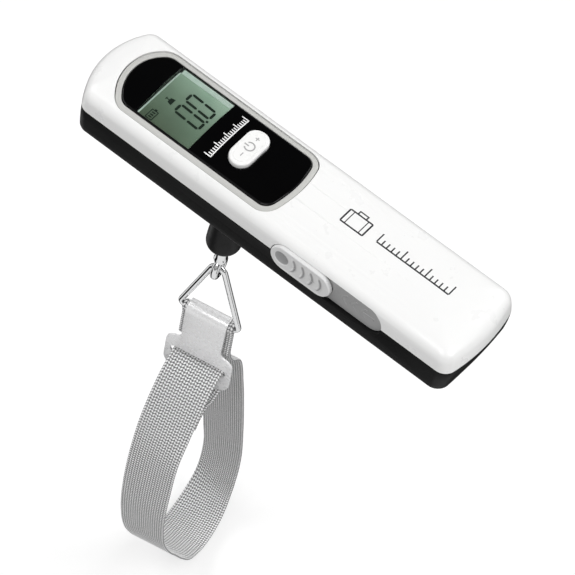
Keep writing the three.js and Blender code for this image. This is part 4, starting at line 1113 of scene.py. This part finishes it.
def make_card(name, centre, aim, size):
    """A black card that only reflections see, as a studio uses to draw lines in bright metal."""
    card = stage_sheet(name, size, 0, grained(name, grey(0.01), 0.9, tint=0.1))
    aimed(card, centre, aim, "Z")
    card.visible_camera = card.visible_diffuse = card.visible_shadow = False


def make_light(name, centre, aim, size, power):
    data = bpy.data.lights.new(name, "AREA")
    data.shape, data.size, data.size_y, data.energy = "RECTANGLE", size[0], size[1], power
    aimed(in_scene(name, data), centre, aim, "-Z")


def make_studio():
    make_floor()
    world = bpy.data.worlds.new("studio")
    bpy.context.scene.world = world
    world.use_nodes = True
    tree = world.node_tree
    tree.nodes.clear()
    part = add(tree, "SeparateXYZ", {0: add(tree, "TexCoord").outputs["Generated"]})
    sky = ramp(tree, part.outputs[2], ((0.0, 0.95), (0.16, 0.95), (0.2, 0.3), (0.42, 0.3),
                                       (0.5, 0.55), (0.9, 0.4)))
    bearing = calc(tree, "ARCTAN2", part.outputs[1], part.outputs[0])
    turn = remap(tree, bearing, -pi, pi, 0, 1)
    ground = ramp(tree, turn, ((0.0, 0.9), (0.06, 0.9), (0.075, 0.01), (0.18, 0.01), (0.195, 1.0),
                               (0.5, 1.0), (0.56, 0.8), (0.61, 0.7), (0.63, 0.01), (0.95, 0.01),
                               (0.97, 0.9)))
    below = remap(tree, part.outputs[2], -0.12, 0.0, 1, 0)
    colour = mixed(tree, below, sky, ground)
    background = add(tree, "Background", {"Color": colour, "Strength": 0.8})
    add(tree, "OutputWorld", {0: background.outputs[0]})
    make_light("left_softbox", (-0.95, -0.3, 1.0), (0, 0, -0.05), (0.8, 0.9), 7.4)
    make_light("right_softbox", (1.0, 0.15, 1.0), (0, 0, -0.05), (0.6, 0.9), 7.4)
    make_light("front_softbox", (0.1, -0.75, 1.35), (0, 0, -0.05), (0.7, 0.5), 6)
    make_light("rear_softbox", (0.35, 1.1, 0.8), (0.02, 0, -0.05), (0.9, 0.4), 5)
    make_card("card_overhead", (-0.27, 0.47, 0.76), (0, 0, 0), (1.0, 0.9))
    make_card("card_left", (-0.75, -0.5, 0.1), (0, 0, -0.08), (0.22, 1.2))
    make_card("card_right", (0.85, -0.15, -0.05), (0, 0, -0.08), (0.2, 1.2))
    bpy.context.scene.view_settings.view_transform = "Standard"


def make_camera():
    """The photograph's viewpoint: 1.5 m away, above the display end's left, slightly rolled."""
    azimuth, elevation, roll = (radians(a) for a in (30.23, 54.4, 11.01))
    back = Vector((sin(azimuth) * cos(elevation), -cos(azimuth) * cos(elevation),
                   sin(elevation)))
    flat = Vector((cos(azimuth), sin(azimuth), 0))
    steep = back.cross(flat)
    right = flat * cos(roll) + steep * sin(roll)
    up = steep * cos(roll) - flat * sin(roll)
    data = bpy.data.cameras.new("camera")
    data.lens, data.sensor_width, data.clip_start = 281.7, 36.0, 0.05
    camera = in_scene("camera", data)
    centre = back * 1.5
    away = (centre - (right * 0.0175 - up * 0.0345)).normalized()
    right = (right - away * right.dot(away)).normalized()
    up = away.cross(right)
    rows = [(right[i], up[i], away[i], centre[i]) for i in range(3)]
    camera.matrix_world = Matrix(rows + [(0, 0, 0, 1)])
    bpy.context.scene.camera = camera


make_camera()
make_studio()
crown_height = make_upper_cover()
make_lower_cover()
make_screws()
make_bezel(crown_height)
make_display(crown_height)
make_lcd_marks()
make_panel_ticks(crown_height)
make_tail_mark(crown_height)
make_button(crown_height)
make_slider()
make_track()
make_boot()
make_eye()
make_link()
make_hook()
make_strap()
make_stitches()
dress_cad()
